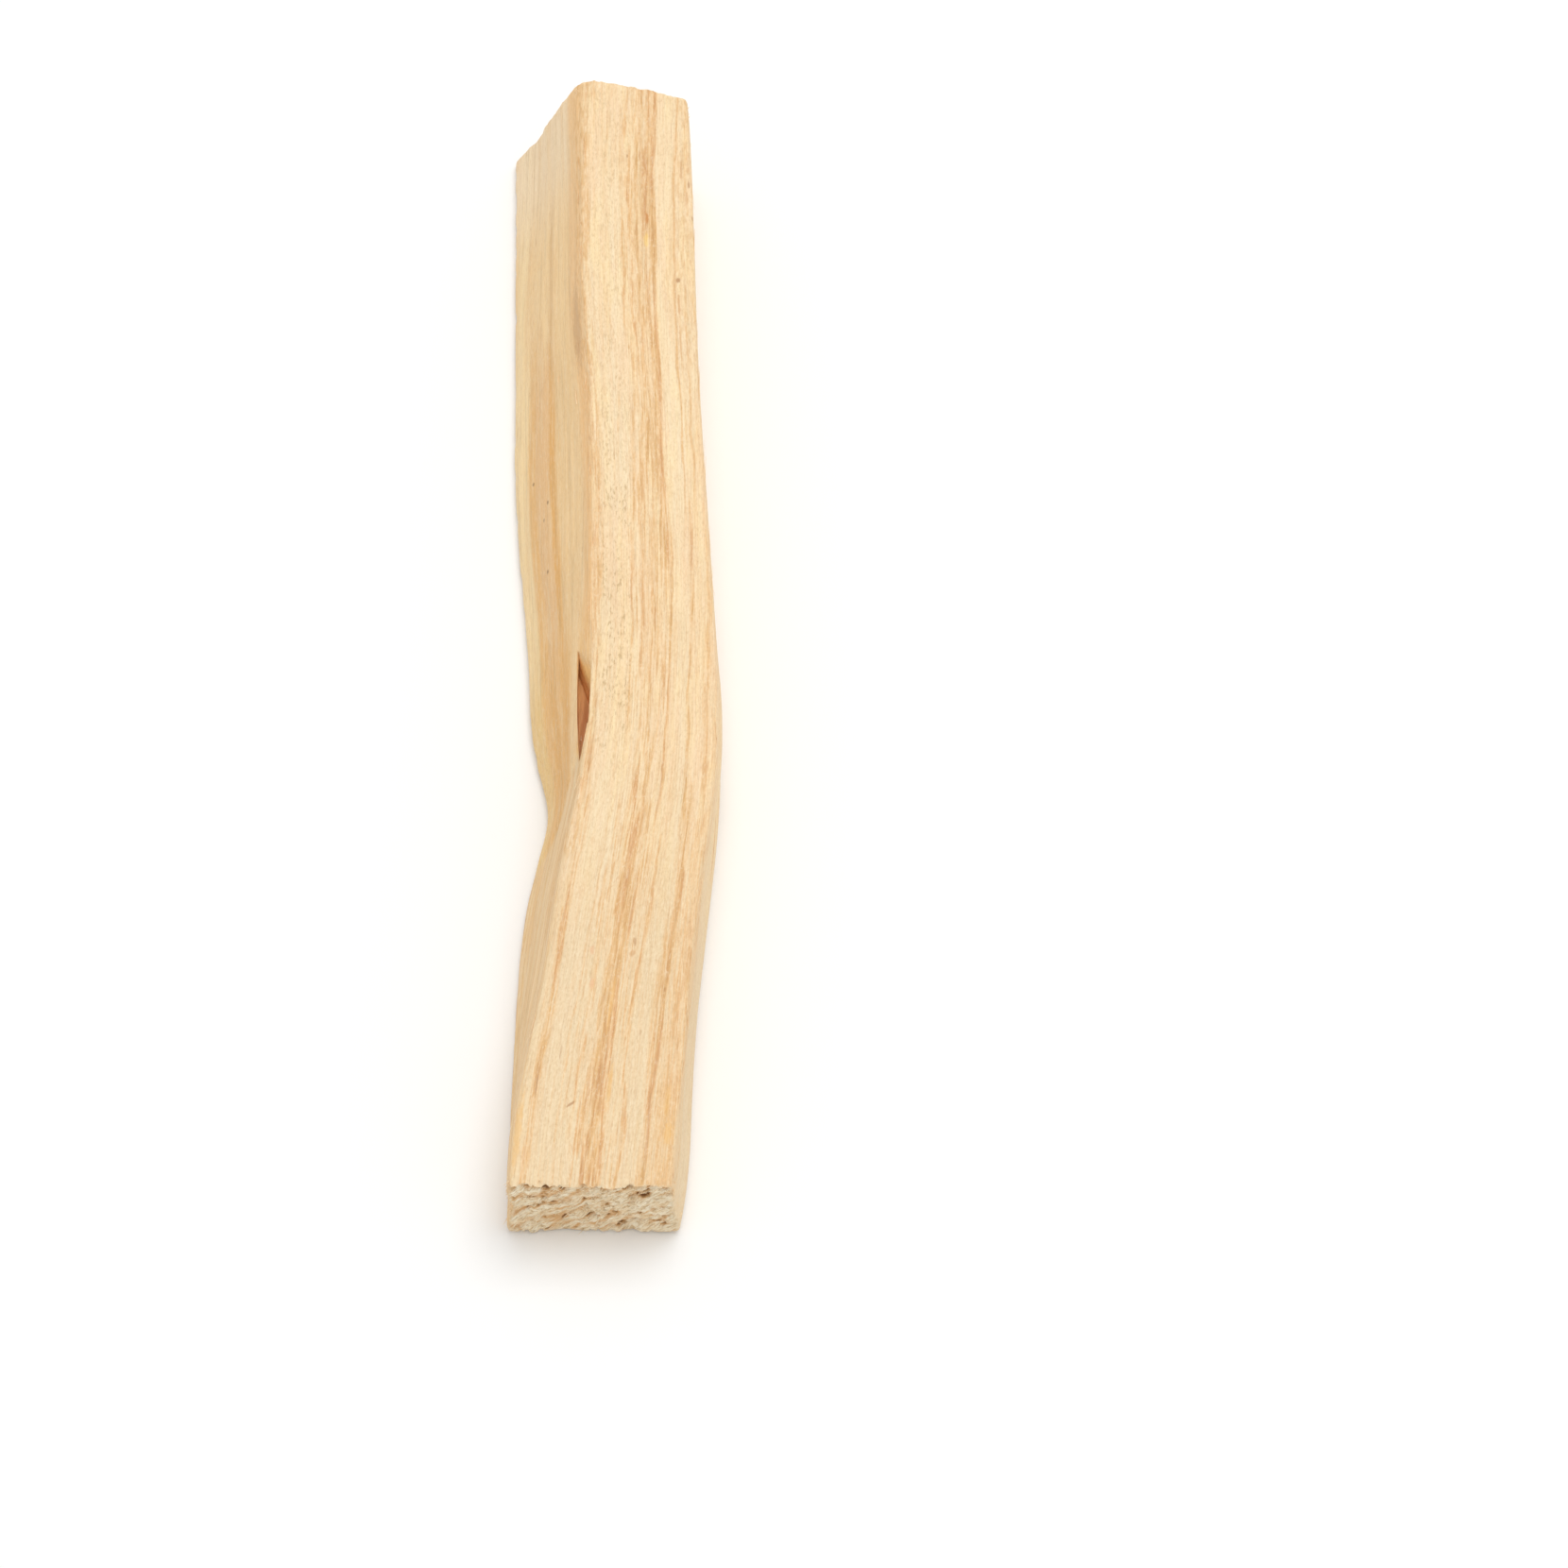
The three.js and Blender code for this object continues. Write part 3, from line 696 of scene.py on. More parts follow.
def split_stick(tree, rows, lines):
    """The stick with its drying split, and the values that its wood reads."""
    points, faces, values = stick_form(tree, rows)
    stick = mesh_of("stick_wood", points, faces)
    blade = mesh_of("split_blade", *split_form())
    whole = BVHTree.FromPolygons(points.tolist(), faces.tolist())
    known = KDTree(len(points))
    for i, point in enumerate(points.tolist()):
        known.insert(point, i)
    known.balance()

    taken = stick.modifiers.new("split", "BOOLEAN")
    taken.operation = "DIFFERENCE"
    taken.solver = "MANIFOLD"
    taken.object = blade
    mesh = finished_mesh(stick)
    stick.modifiers.remove(taken)
    mesh.materials.clear()
    stick.data = mesh
    bpy.data.objects.remove(blade)

    found = points_of(mesh)
    same = [known.find(point)[1] for point in found.tolist()]
    depth = np.array([whole.find_nearest(Vector(point))[3] for point in found.tolist()])
    sharpen(mesh, SHARP_TURN)
    keep_values(mesh, "grain", lines.of(found))
    for name in values:
        keep_values(mesh, name, values[name][same])
    # How deep each point lies in the split, which browns its walls partly as painted shade, and where its
    # far wall is painted lighter as painted light
    keep_values(mesh, "split", smooth_step(depth, 0.0, SPLIT_TONE_AND_SHADE_DEPTH))
    keep_values(mesh, "far_wall", on_far_wall(found))
    return stick


# Nodes

class Link:
    """A node's output, worked on with Python's own operators."""

    def __init__(self, nodes, socket):
        self.nodes = nodes
        self.socket = socket

    def maths(self, operation, *values):
        return self.nodes.add("ShaderNodeMath", {"operation": operation}, dict(enumerate(values)))

    def __add__(self, other):
        return self.maths("ADD", self, other)

    def __sub__(self, other):
        return self.maths("SUBTRACT", self, other)

    def __rsub__(self, other):
        return self.maths("SUBTRACT", other, self)

    def __mul__(self, other):
        return self.maths("MULTIPLY", self, other)

    def __truediv__(self, other):
        return self.maths("DIVIDE", self, other)

    __radd__ = __add__
    __rmul__ = __mul__

    def parts(self):
        split = self.nodes.add("ShaderNodeSeparateXYZ", {}, {0: self})
        return [Link(self.nodes, output) for output in split.socket.node.outputs]


class Nodes:
    """A node tree as it is wired. Every node comes from add()."""

    def __init__(self, tree):
        self.tree = tree
        tree.nodes.clear()

    def add(self, kind, settings, sockets, output=0):
        node = self.tree.nodes.new(kind)
        for name, value in settings.items():
            if name == "stops":
                lay_stops(node.color_ramp, value)
            else:
                setattr(node, name, value)
        for name, value in sockets.items():
            if isinstance(value, Link):
                self.tree.links.new(value.socket, node.inputs[name])
            else:
                node.inputs[name].default_value = value
        return Link(self, node.outputs[output]) if node.outputs else None

    def vector(self, operation, *values):
        return self.add("ShaderNodeVectorMath", {"operation": operation}, dict(enumerate(values)))

    def combined(self, x, y, z):
        return self.add("ShaderNodeCombineXYZ", {}, {0: x, 1: y, 2: z})

    def between(self, value, low, high):
        """0 where the value is at low, 1 where it is at high, with a smooth run between."""
        ends = {"Value": value, "From Min": low, "From Max": high}
        return self.add("ShaderNodeMapRange", {"interpolation_type": "SMOOTHSTEP"}, ends)

    def ramp(self, value, stops):
        return self.add("ShaderNodeValToRGB", {"stops": stops}, {0: value})

    def mix(self, share, first, second, blend="MIX"):
        """One colour laid over another by a share."""
        settings = {"data_type": "RGBA", "blend_type": blend}
        return self.add("ShaderNodeMix", settings, {0: share, 6: first, 7: second}, 2)

    def noise(self, vector, detail=2.0, roughness=0.5):
        sockets = {"Vector": vector, "Scale": 1.0, "Detail": detail, "Roughness": roughness}
        return self.add("ShaderNodeTexNoise", {}, sockets)

    def flat_noise(self, x, y, size, depth, detail=2.0):
        """Noise over a plane, with lumps of about this size."""
        return self.noise(self.combined(x / size[0], y / size[1], depth), detail)

    def laid_over(self, colour, layers):
        """Colours laid over one, each as [value, where it starts, where it is full, share, colour]."""
        for value, start, full, share, shade in layers:
            colour = self.mix(self.between(value, start, full) * share, colour, shade)
        return colour

    def kept(self, name, output="Fac"):
        """A value that the piece keeps for each of its points."""
        return self.add("ShaderNodeAttribute", {"attribute_name": name}, {}, output)


def lay_stops(ramp, stops):
    """Stops of a colour ramp, each a place and a colour or a shade of grey."""
    while len(ramp.elements) < len(stops):
        ramp.elements.new(1.0)
    for element, (place, colour) in zip(ramp.elements, stops):
        element.position = place
        element.color = colour if isinstance(colour, tuple) else (colour, colour, colour, 1)


def tone(red, green, blue):
    """A colour given from 0 to 255 as it looks on a screen."""
    screen = np.array([red, green, blue]) / 255
    light = np.where(screen <= 0.04045, screen / 12.92, ((screen + 0.055) / 1.055) ** 2.4)
    return (*light.tolist(), 1.0)


# Wood

PALE = tone(245, 223, 185)
LIGHT = tone(252, 235, 203)
CREAM = tone(244, 215, 170)
PINKISH = tone(244, 211, 172)
YELLOWISH = tone(250, 224, 174)
THIN_HALF_SHADE = tone(246, 244, 242)
PEACH = tone(235, 194, 142)
ORANGE = tone(222, 178, 120)
ROSE = tone(220, 169, 117)
RESIN = tone(199, 147, 93)
FLECK_GREY = tone(200, 170, 124)
FLECK_BROWN = tone(202, 150, 98)
END_PALE = tone(255, 244, 217)
END_SHADE = tone(194, 161, 117)
END_TAN = tone(232, 208, 168)
END_WARM = tone(238, 205, 157)
END_HALO = tone(222, 168, 104)
# Brown of the end grain's hollows, partly their own colour and partly painted shade
END_HOLLOW_BROWN_AND_SHADE = tone(140, 98, 57)
# Split walls: the deep tone is partly the crack's own darker wood and partly painted shade, and the far
# wall's tone is painted light
SPLIT_SIDE = tone(240, 194, 136)
SPLIT_DEEP_TONE_AND_SHADE = tone(222, 162, 110)
SPLIT_FIBRE = tone(196, 128, 78)
SPLIT_FAR_WALL_PAINTED_LIGHT = tone(246, 196, 126)
SIDE_PALE = tone(250, 221, 170)
SIDE_CREAM = tone(246, 211, 158)
SIDE_BUFF = tone(242, 207, 155)
SIDE_STRAW = tone(240, 205, 143)
SIDE_SAND = tone(237, 201, 148)
SIDE_PEACH = tone(244, 201, 146)
SIDE_WARM = tone(246, 199, 140)
SIDE_DUN = tone(235, 192, 139)
SIDE_TAN = tone(237, 189, 125)
SIDE_OCHRE = tone(229, 177, 109)
SIDE_GREY = tone(226, 186, 132)
MARK_DARK = tone(142, 106, 72)
MARK_BROWN = tone(175, 124, 80)
MARK_UMBER = tone(187, 141, 96)
# Grey of a patch on the left face, and of a painted shadow line beside the left arris
MARK_GREY_AND_SHADE = tone(199, 160, 116)
MARK_RUST = tone(206, 140, 78)
MARK_TAN = tone(210, 159, 107)
MARK_SAND = tone(226, 186, 138)
MARK_ROSY = tone(232, 172, 130)
MARK_AMBER = tone(237, 187, 114)
MARK_GOLD = tone(252, 212, 128)

# Streaks on the top, as [place across the grain in mm, strength], for each stretch of the stick
STREAK_REACH = (-1.0, 11.0)
THICK_HALF_STREAKS = [
    (-1, 0.1), (-0.3, 0.3), (0.1, 0.4), (0.6, 0.3), (1.1, 0.1), (2.0, 0.1), (2.2, 0.24), (2.35, 0.08),
    (3.05, 0.1), (3.25, 0.48), (3.4, 0.2), (3.7, 0.28), (3.86, 0.66), (4.0, 0.26), (4.3, 0.48),
    (4.45, 0.8), (4.6, 0.38), (4.85, 0.46), (5.0, 0.85), (5.15, 0.42), (5.4, 0.55), (5.58, 0.95),
    (5.72, 0.66), (5.84, 0.04), (6.5, 0.02), (7.15, 0.06), (7.32, 0.56), (7.46, 0.1), (8.05, 0.14),
    (8.15, 0.46), (8.3, 0.14), (10.5, 0.2),
]
BEND_STREAKS = [
    (-1, 0.15), (-0.1, 0.2), (0.25, 0.45), (0.5, 0.55), (0.7, 0.25), (1.2, 0.06), (2.3, 0.1),
    (2.9, 0.14), (3.02, 0.4), (3.14, 0.2), (3.5, 0.28), (3.66, 0.55), (3.8, 0.24), (4.2, 0.3),
    (4.36, 0.55), (4.5, 0.28), (5.0, 0.4), (5.2, 0.22), (5.8, 0.2), (5.96, 1.0), (6.1, 0.2),
    (6.7, 0.06), (7.4, 0.1), (7.62, 0.35), (7.74, 1.0), (7.86, 0.16), (8.7, 0.14), (9.2, 0.45),
    (9.5, 0.15), (10.5, 0.2),
]
THIN_HALF_STREAKS = [
    (-1, 0.1), (0.1, 0.06), (0.4, 0.12), (0.5, 0.4), (0.62, 0.7), (0.75, 0.4), (0.88, 0.65), (1.0, 0.3),
    (1.15, 0.06), (2.5, 0.12), (2.64, 0.35), (2.8, 0.06), (3.6, 0.25), (3.8, 0.08), (4.1, 0.25),
    (4.3, 0.65), (4.5, 0.5), (4.66, 0.9), (4.8, 0.5), (4.96, 0.95), (5.2, 0.5), (5.34, 0.7), (5.5, 0.1),
    (6.4, 0.15), (6.56, 0.65), (6.7, 0.1), (7.5, 0.08), (8.0, 0.5), (8.16, 0.95), (8.3, 0.25),
    (9.1, 0.4), (10.5, 0.3),
]

# Bands down the left face, as [height above the top in mm, colour], for each stretch of the stick
SIDE_REACH = (-12.0, 0.4)
THICK_END_BANDS = [
    (-12, SIDE_CREAM), (-9.9, SIDE_CREAM), (-9.4, SIDE_PALE), (-8.4, SIDE_PALE), (-8.0, SIDE_BUFF),
    (-6.9, SIDE_CREAM), (-4.9, SIDE_CREAM), (-4.5, SIDE_GREY), (-4.1, SIDE_CREAM), (-2.4, SIDE_CREAM),
    (-1.9, SIDE_PEACH), (-0.9, SIDE_PEACH), (-0.5, SIDE_WARM), (-0.1, SIDE_PEACH), (0.4, SIDE_CREAM),
]
MIDDLE_BANDS = [
    (-12, SIDE_PALE), (-7.6, SIDE_PALE), (-7.2, SIDE_TAN), (-6.5, SIDE_TAN), (-6.2, SIDE_DUN),
    (-4.8, SIDE_DUN), (-4.6, SIDE_OCHRE), (-4.3, SIDE_OCHRE), (-4.0, SIDE_SAND), (-1.8, SIDE_BUFF),
    (-1.2, SIDE_WARM), (-0.2, SIDE_WARM), (0.4, SIDE_CREAM),
]
TONGUE_BANDS = [
    (-12, SIDE_STRAW), (-7.0, SIDE_STRAW), (-6.3, SIDE_TAN), (-4.9, SIDE_OCHRE), (-4.2, SIDE_TAN),
    (-3.2, SIDE_OCHRE), (-2.6, SIDE_TAN), (-2.3, SIDE_BUFF), (-1.6, SIDE_BUFF), (-1.2, SIDE_TAN),
    (-0.2, SIDE_TAN), (0.4, SIDE_CREAM),
]
FACET_BANDS = [
    (-12, SIDE_SAND), (-4.0, SIDE_SAND), (-2.6, SIDE_BUFF), (-1.3, SIDE_SAND), (-0.5, SIDE_SAND),
    (-0.1, SIDE_BUFF), (0.4, SIDE_CREAM),
]
FAR_END_PALE = tone(247, 223, 188)

# Sways of the rings, as [width and length in mm, seed, how far they go]
SWAYS = [(3.4, 12, 3, 1.1), (1.1, 3.4, 9, 0.3), (0.35, 2.0, 10, 0.14)]

# Strands in the grain, as [width and length in mm, seed, the noise where they start and are full]
STRANDS = {
    "lines": (0.26, 24, 35, 0.47, 0.66),
    "pale lines": (0.13, 7, 37, 0.48, 0.7),
    "hairlines": (0.1, 6, 39, 0.5, 0.7),
    "wide bands": (1.0, 30, 27, 0.3, 0.7),
    "pinkish bands": (1.6, 14, 29, 0.42, 0.66),
    "yellowish bands": (0.8, 9, 31, 0.45, 0.66),
    "pinkish strands": (0.3, 3, 32, 0.5, 0.68),
    "rosy stretches": (0.8, 12, 57, 0.42, 0.6),
    "fine streaks": (0.16, 10, 25, 0.46, 0.66),
    "deep streaks": (0.5, 40, 26, 0.52, 0.66),
    "streak lengths": (0.35, 6, 21, 0.3, 0.62),
    "streak strands": (0.12, 4, 23, 0.34, 0.62),
    "streak nicks": (0.22, 1.3, 24, 0.34, 0.56),
    "facet streaks": (0.3, 22, 38, 0.44, 0.62),
    "facet lights": (0.3, 20, 40, 0.46, 0.64),
    "side streaks": (0.6, 22, 33, 0.48, 0.66),
    "side greys": (0.3, 9, 34, 0.54, 0.68),
    "side creams": (0.4, 6, 36, 0.52, 0.66),
    "fleck clumps": (0.6, 2.2, 43, 0.42, 0.56),
    "grey flecks": (0.14, 0.5, 45, 0.52, 0.66),
    "brown flecks": (0.1, 0.9, 47, 0.54, 0.66),
    "glints": (0.09, 0.9, 49, 0.56, 0.68),
    "tan blotches": (0.3, 1.1, 51, 0.5, 0.62),
    "split fibres": (0.14, 5, 61, 0.4, 0.64),
}

# Layers of strands, as [strands, share, colour]: over the plain wood, the thin half's left facet and
# the whole left face
PLAIN_LAYERS = [
    ("wide bands", 0.7, CREAM), ("pinkish bands", 0.6, PINKISH), ("yellowish bands", 0.6, YELLOWISH),
    ("pinkish strands", 0.4, PINKISH),
]
FACET_LAYERS = [("facet streaks", 0.4, ROSE), ("facet lights", 0.36, LIGHT)]
SIDE_LAYERS = [
    ("side streaks", 0.3, PEACH), ("side greys", 0.3, FLECK_GREY), ("side creams", 0.35, CREAM),
]

# Lumps of the end grain's colour, as sizes along and over the rings
CUT_COMB_SIZE = (0.9, 0.15)
CUT_STROKE_SIZE = (0.5, 0.09)
CUT_PATCH_SIZE = (1.4, 0.5)
CUT_SPECKLES_PER_MM = (6.5, 1.5, 6.5)

# How rough and how shiny the wood is, and how strong its finest relief
ROUGHNESS = 0.66
SHINE = 0.3
BUMP_STRENGTH = 0.5
BUMP_DEPTH = 0.08


class Grain:
    """Places in the grain: across from the left arris, along the stick and down from its top, as the
    piece keeps them, with the sway of the rings and the fine lines that all faces share."""

    def __init__(self, nodes):
        self.nodes = nodes
        self.place = nodes.kept("grain", "Vector")
        self.across, self.along, self.down = self.place.parts()
        self.sway = sum(self.jagged(0, size, reach) for *size, reach in SWAYS)
        self.thin_half = nodes.between(self.along, -14.0, -32.0)
        self.lines = self.strands("lines")
        self.pale_lines = self.strands("pale lines")
        self.hairlines = self.strands("hairlines")

    def fibres(self, width, length, seed, detail=2.0):
        """Noise drawn out along the grain, from strands of about this width and length."""
        size = (1 / width, 1 / length, 1 / width)
        drawn_out = self.nodes.vector("MULTIPLY_ADD", self.place, size, (seed, seed, seed))
        return self.nodes.noise(drawn_out, detail)

    def jagged(self, value, size, reach):
        """A value that such noise shifts up and down from fibre to fibre."""
        return value + (self.fibres(*size) - 0.5) * reach

    def strands(self, name):
        """Strands of such noise that stand out, from 0 where it is low to 1 where it is high."""
        *size, low, high = STRANDS[name]
        return self.nodes.between(self.fibres(*size), low, high)

    def with_strands(self, colour, layers, share=1.0):
        """Strands laid over a colour."""
        for name, strength, shade in layers:
            colour = self.nodes.mix(self.strands(name) * strength * share, colour, shade)
        return colour

    def laid_out(self, place, reach, stretch):
        """A list of places with their values or colours, laid out over a reach."""
        low, high = reach
        stops = [((at - low) / (high - low), value) for at, value in stretch]
        return self.nodes.ramp((place - low) / (high - low), stops)


def growth_streaks(grain):
    """How strong the growth streaks are. They are broken along the stick, are made of fine strands,
    lean over as they go down into the wood, and fade there."""
    nodes = grain.nodes
    ring = grain.across + grain.sway - grain.down / math.tan(RING_SLANT)
    stretches = [grain.laid_out(ring, STREAK_REACH, stretch)
                 for stretch in (BEND_STREAKS, THICK_HALF_STREAKS, THIN_HALF_STREAKS)]
    ends_at = grain.jagged(grain.along, (0.5, 5, 15), 16)
    strength = nodes.mix(nodes.between(ends_at, 2.0, 14.0), stretches[0], stretches[1])
    strength = nodes.mix(nodes.between(ends_at, -15.0, -23.0), strength, stretches[2])
    finer = 0.2 + 0.8 * nodes.between(grain.across, 2.4, 3.8) * nodes.between(grain.across, 6.6, 5.7)
    finer = finer * (1 - 0.7 * nodes.between(grain.along, 8.0, 20.0))
    strength = strength + grain.strands("fine streaks") * finer * 0.36
    steady = 0.28 + 0.27 * grain.thin_half + 0.35 * nodes.between(grain.across, 5.5, 5.8)
    broken = steady + grain.strands("streak lengths") * (1.05 - steady)
    loose = 0.34 + 0.22 * nodes.between(grain.along, 4.0, -6.0)
    stranded = 1 - loose + grain.strands("streak strands") * (loose + 0.1)
    nicked = 0.46 + 0.5 * steady + grain.strands("streak nicks") * (0.59 - 0.5 * steady)
    shallow = 0.12 + nodes.between(grain.down, -3.4, -0.9) * 0.88
    deep = grain.strands("deep streaks") * nodes.between(grain.down, -3.0, -6.0) * 0.5
    return strength * broken * nicked * stranded * shallow + deep * stranded


def plain_wood(grain):
    """Soft bands of slightly different tones, calmer and a little darker in the thin half."""
    colour = grain.with_strands(PALE, PLAIN_LAYERS, 1 - 0.75 * grain.thin_half)
    return grain.nodes.mix(grain.thin_half, colour, THIN_HALF_SHADE, "MULTIPLY")


def left_face(grain):
    """Bands down the left face. The tongue of the thick half's bands ends over the thin half's facet."""
    nodes = grain.nodes
    height = grain.down + grain.sway * 0.3
    falling = nodes.between(grain.along, 20.0, 2.0) * 0.6
    ends_at = grain.jagged(grain.along, (0.5, 5, 16), 12)
    from_facet = grain.along - grain.down * FACET_EDGE_SLOPE - FACET_EDGE_Y
    colour = grain.laid_out(height - falling, SIDE_REACH, MIDDLE_BANDS)
    thick_end = grain.laid_out(height, SIDE_REACH, THICK_END_BANDS)
    colour = nodes.mix(nodes.between(ends_at, 22.0, 32.0), colour, thick_end)
    tongue = grain.laid_out(height, SIDE_REACH, TONGUE_BANDS)
    colour = nodes.mix(nodes.between(ends_at, 3.0, -6.0), colour, tongue)
    by_far_end = nodes.between(grain.along, 36.0, 46.0) * nodes.between(height, -1.4, -2.4)
    colour = nodes.mix(by_far_end * 0.8, colour, FAR_END_PALE)
    facet = grain.with_strands(grain.laid_out(height, SIDE_REACH, FACET_BANDS), FACET_LAYERS)
    colour = nodes.mix(nodes.between(from_facet, 0.5, -0.4), colour, facet)
    return grain.with_strands(colour, SIDE_LAYERS)


def with_flecks(grain, colour, streak):
    """Short flecks: brown ones among the streaks, grey ones where the top is plain, and tan blotches
    beside the upper arrises."""
    nodes = grain.nodes
    worn = nodes.between(grain.across, 0.9, 0.2) * nodes.between(grain.along, 14.0, 22.0)
    by_bend = nodes.between(grain.along, -8.0, -12.0) * nodes.between(grain.along, -25.0, -19.0)
    worn = worn + nodes.between(grain.across, 1.0, 0.3) * by_bend
    by_right_arris = nodes.between(grain.across, 6.9, 7.8) * nodes.between(grain.along, 16.0, 26.0)
    worn = worn + by_right_arris * 0.6
    worn = worn * nodes.between(grain.down, -1.3, -0.4)
    plain = nodes.between(grain.across, 0.4, 1.1) * nodes.between(grain.across, 3.6, 2.7)
    plain = plain * nodes.between(grain.along, -17.0, -9.0)
    plain = plain * (0.4 + 0.6 * nodes.between(grain.along, 26.0, 6.0))
    clumps = 0.25 + 0.75 * grain.strands("fleck clumps")
    grey = grain.strands("grey flecks") * (0.12 + 0.6 * plain) * clumps
    brown = grain.strands("brown flecks") * (0.14 + 0.45 * streak)
    glints = grain.strands("glints") * 0.26
    colour = grain.with_strands(colour, [("tan blotches", 0.6, ORANGE)], worn)
    colour = nodes.mix(grey, colour, FLECK_GREY)
    colour = nodes.mix(brown, colour, FLECK_BROWN)
    return nodes.mix(glints, colour, LIGHT), grey + brown - glints


def with_marks(grain, colour, marks):
    """Small single marks with ragged edges, one of them a painted shadow line."""
    nodes = grain.nodes
    ragged = grain.jagged(0, (0.12, 0.5, 55), 1.2)
    for centre, half_length, half_width, turn, shade, strength in marks:
        apart = nodes.vector("SUBTRACT", grain.place, tuple(centre))
        if turn:
            turning = {"Vector": apart, "Angle": turn}
            apart = nodes.add("ShaderNodeVectorRotate", {"rotation_type": "Z_AXIS"}, turning)
        sized = nodes.vector("MULTIPLY", apart, (1 / half_width, 1 / half_length, 1 / half_width))
        distance = nodes.add("ShaderNodeVectorMath", {"operation": "LENGTH"}, {0: sized}, "Value")
        colour = nodes.mix(nodes.between(distance + ragged, 1.1, 0.35) * strength, colour, shade)
    return colour


def end_grain(grain, streak, hollow):
    """Torn end grain, combed along the rings, with brown hollows and low places darkened as painted
    shade. Also its relief.
    """
    nodes = grain.nodes
    along, over = turned_to_rings(grain.across, grain.down)
    swayed = over + (nodes.flat_noise(along, over, COMB_SWAY_SIZE, 4.0) - 0.5) * 0.5
    comb = nodes.flat_noise(along, swayed, CUT_COMB_SIZE, grain.along / 2, 3.0)
    strokes = nodes.flat_noise(along, swayed, CUT_STROKE_SIZE, 21.0, 1.0)
    patches = nodes.flat_noise(along, over, CUT_PATCH_SIZE, 9.0)
    speckle = nodes.noise(nodes.vector("MULTIPLY", grain.place, CUT_SPECKLES_PER_MM), 2.0, 0.7)
    colour = nodes.laid_over(END_TAN, [
        (comb, 0.36, 0.62, 1, END_PALE),
        (patches, 0.46, 0.64, 0.6, END_WARM),
    ])
    colour = nodes.laid_over(nodes.mix(streak * 0.3, colour, PEACH), [
        (speckle, 0.54, 0.7, 0.35, END_HALO),
        # Painted shade in the low places of the fine relief
        (speckle + comb, 0.84, 0.68, 0.42, END_HOLLOW_BROWN_AND_SHADE),
        (strokes, 0.54, 0.63, 0.9, LIGHT),
        (strokes, 0.45, 0.36, 0.6, END_SHADE),
        (hollow, 0.08, 0.4, 0.8, END_HALO),
        # The hollows' own brown, darkened further as painted shade
        (hollow, 0.28, 0.62, 1, END_HOLLOW_BROWN_AND_SHADE),
    ])
    return colour, comb + speckle


def split_walls(grain, colour, depth, far_wall):
    """Walls of the drying split: fibrous, and browner the deeper they are, partly the crack's own darker
    wood and partly painted shade. Its far end and its far wall are painted lighter, as painted light.
    """
    nodes = grain.nodes
    wall = nodes.mix(nodes.between(depth, 0.3, 1.0), SPLIT_SIDE, SPLIT_DEEP_TONE_AND_SHADE)
    wall = nodes.mix(grain.strands("split fibres") * (0.2 + 0.5 * depth), wall, SPLIT_FIBRE)
    torn = grain.jagged(depth, (0.12, 1.2, 63), 0.8)
    # Painted light on the split's far end and on its far wall
    wall = nodes.laid_over(wall, [
        (grain.along, -8.5, -5.0, 0.4, SPLIT_FAR_WALL_PAINTED_LIGHT),
        (torn, 0.6, 0.3, far_wall, SPLIT_FAR_WALL_PAINTED_LIGHT),
    ])
    return nodes.mix(nodes.between(depth, 0.0, 0.12), colour, wall)


def wood(marks):
    """Palo santo, split along its grain and sawn across."""
    material = bpy.data.materials.new("palo_santo_wood")
    material.use_nodes = True
    nodes = Nodes(material.node_tree)
    grain = Grain(nodes)
    cut, hollow, on_left = (nodes.kept(name) for name in ("cut", "hollow", "left"))
    depth, far_wall = (nodes.kept(name) for name in ("split", "far_wall"))
    streak = growth_streaks(grain)

    colour = nodes.mix(grain.lines * 0.3, plain_wood(grain), PEACH)
    deep_tone = nodes.mix(grain.strands("rosy stretches"), ORANGE, ROSE)
    colour = nodes.laid_over(colour, [
        (streak, 0.02, 0.42, 1, PEACH),
        (streak, 0.26, 0.72, 1, deep_tone),
        (streak, 0.56, 0.95, 0.4, RESIN),
    ])
    colour = nodes.mix(on_left, colour, left_face(grain))
    softer = 1 - 0.6 * on_left
    specks = grain.fibres(0.14, 0.3, 59, 3.0)
    colour = nodes.mix(grain.pale_lines * 0.2 * softer, colour, LIGHT)
    colour = nodes.mix(grain.hairlines * 0.13 * softer, colour, deep_tone)
    colour = nodes.laid_over(colour, [
        (specks, 0.5, 0.7, 0.27 * softer, FLECK_GREY),
        (specks, 0.46, 0.3, 0.28 * softer, LIGHT),
    ])
    colour, flecks = with_flecks(grain, colour, streak)
    colour = with_marks(grain, colour, marks)
    end_colour, end_relief = end_grain(grain, streak, hollow)
    colour = nodes.mix(cut, colour, end_colour)
    colour = split_walls(grain, colour, depth, far_wall)

    rough = ROUGHNESS + 0.14 * grain.hairlines + 0.12 * cut - 0.1 * streak
    height = grain.pale_lines * 0.3 - grain.hairlines * 0.5 - grain.lines * 0.2 - flecks * 0.4
    height = height * (1 - cut) + end_relief * 1.5 * cut
    bump = nodes.add("ShaderNodeBump", {}, {
        "Strength": BUMP_STRENGTH, "Distance": BUMP_DEPTH * MM, "Height": height,
    })
    shader = nodes.add("ShaderNodeBsdfPrincipled", {}, {
        "Base Color": colour, "Roughness": rough, "Normal": bump, "Specular IOR Level": SHINE,
    })
    nodes.add("ShaderNodeOutputMaterial", {}, {"Surface": shader})
    return material
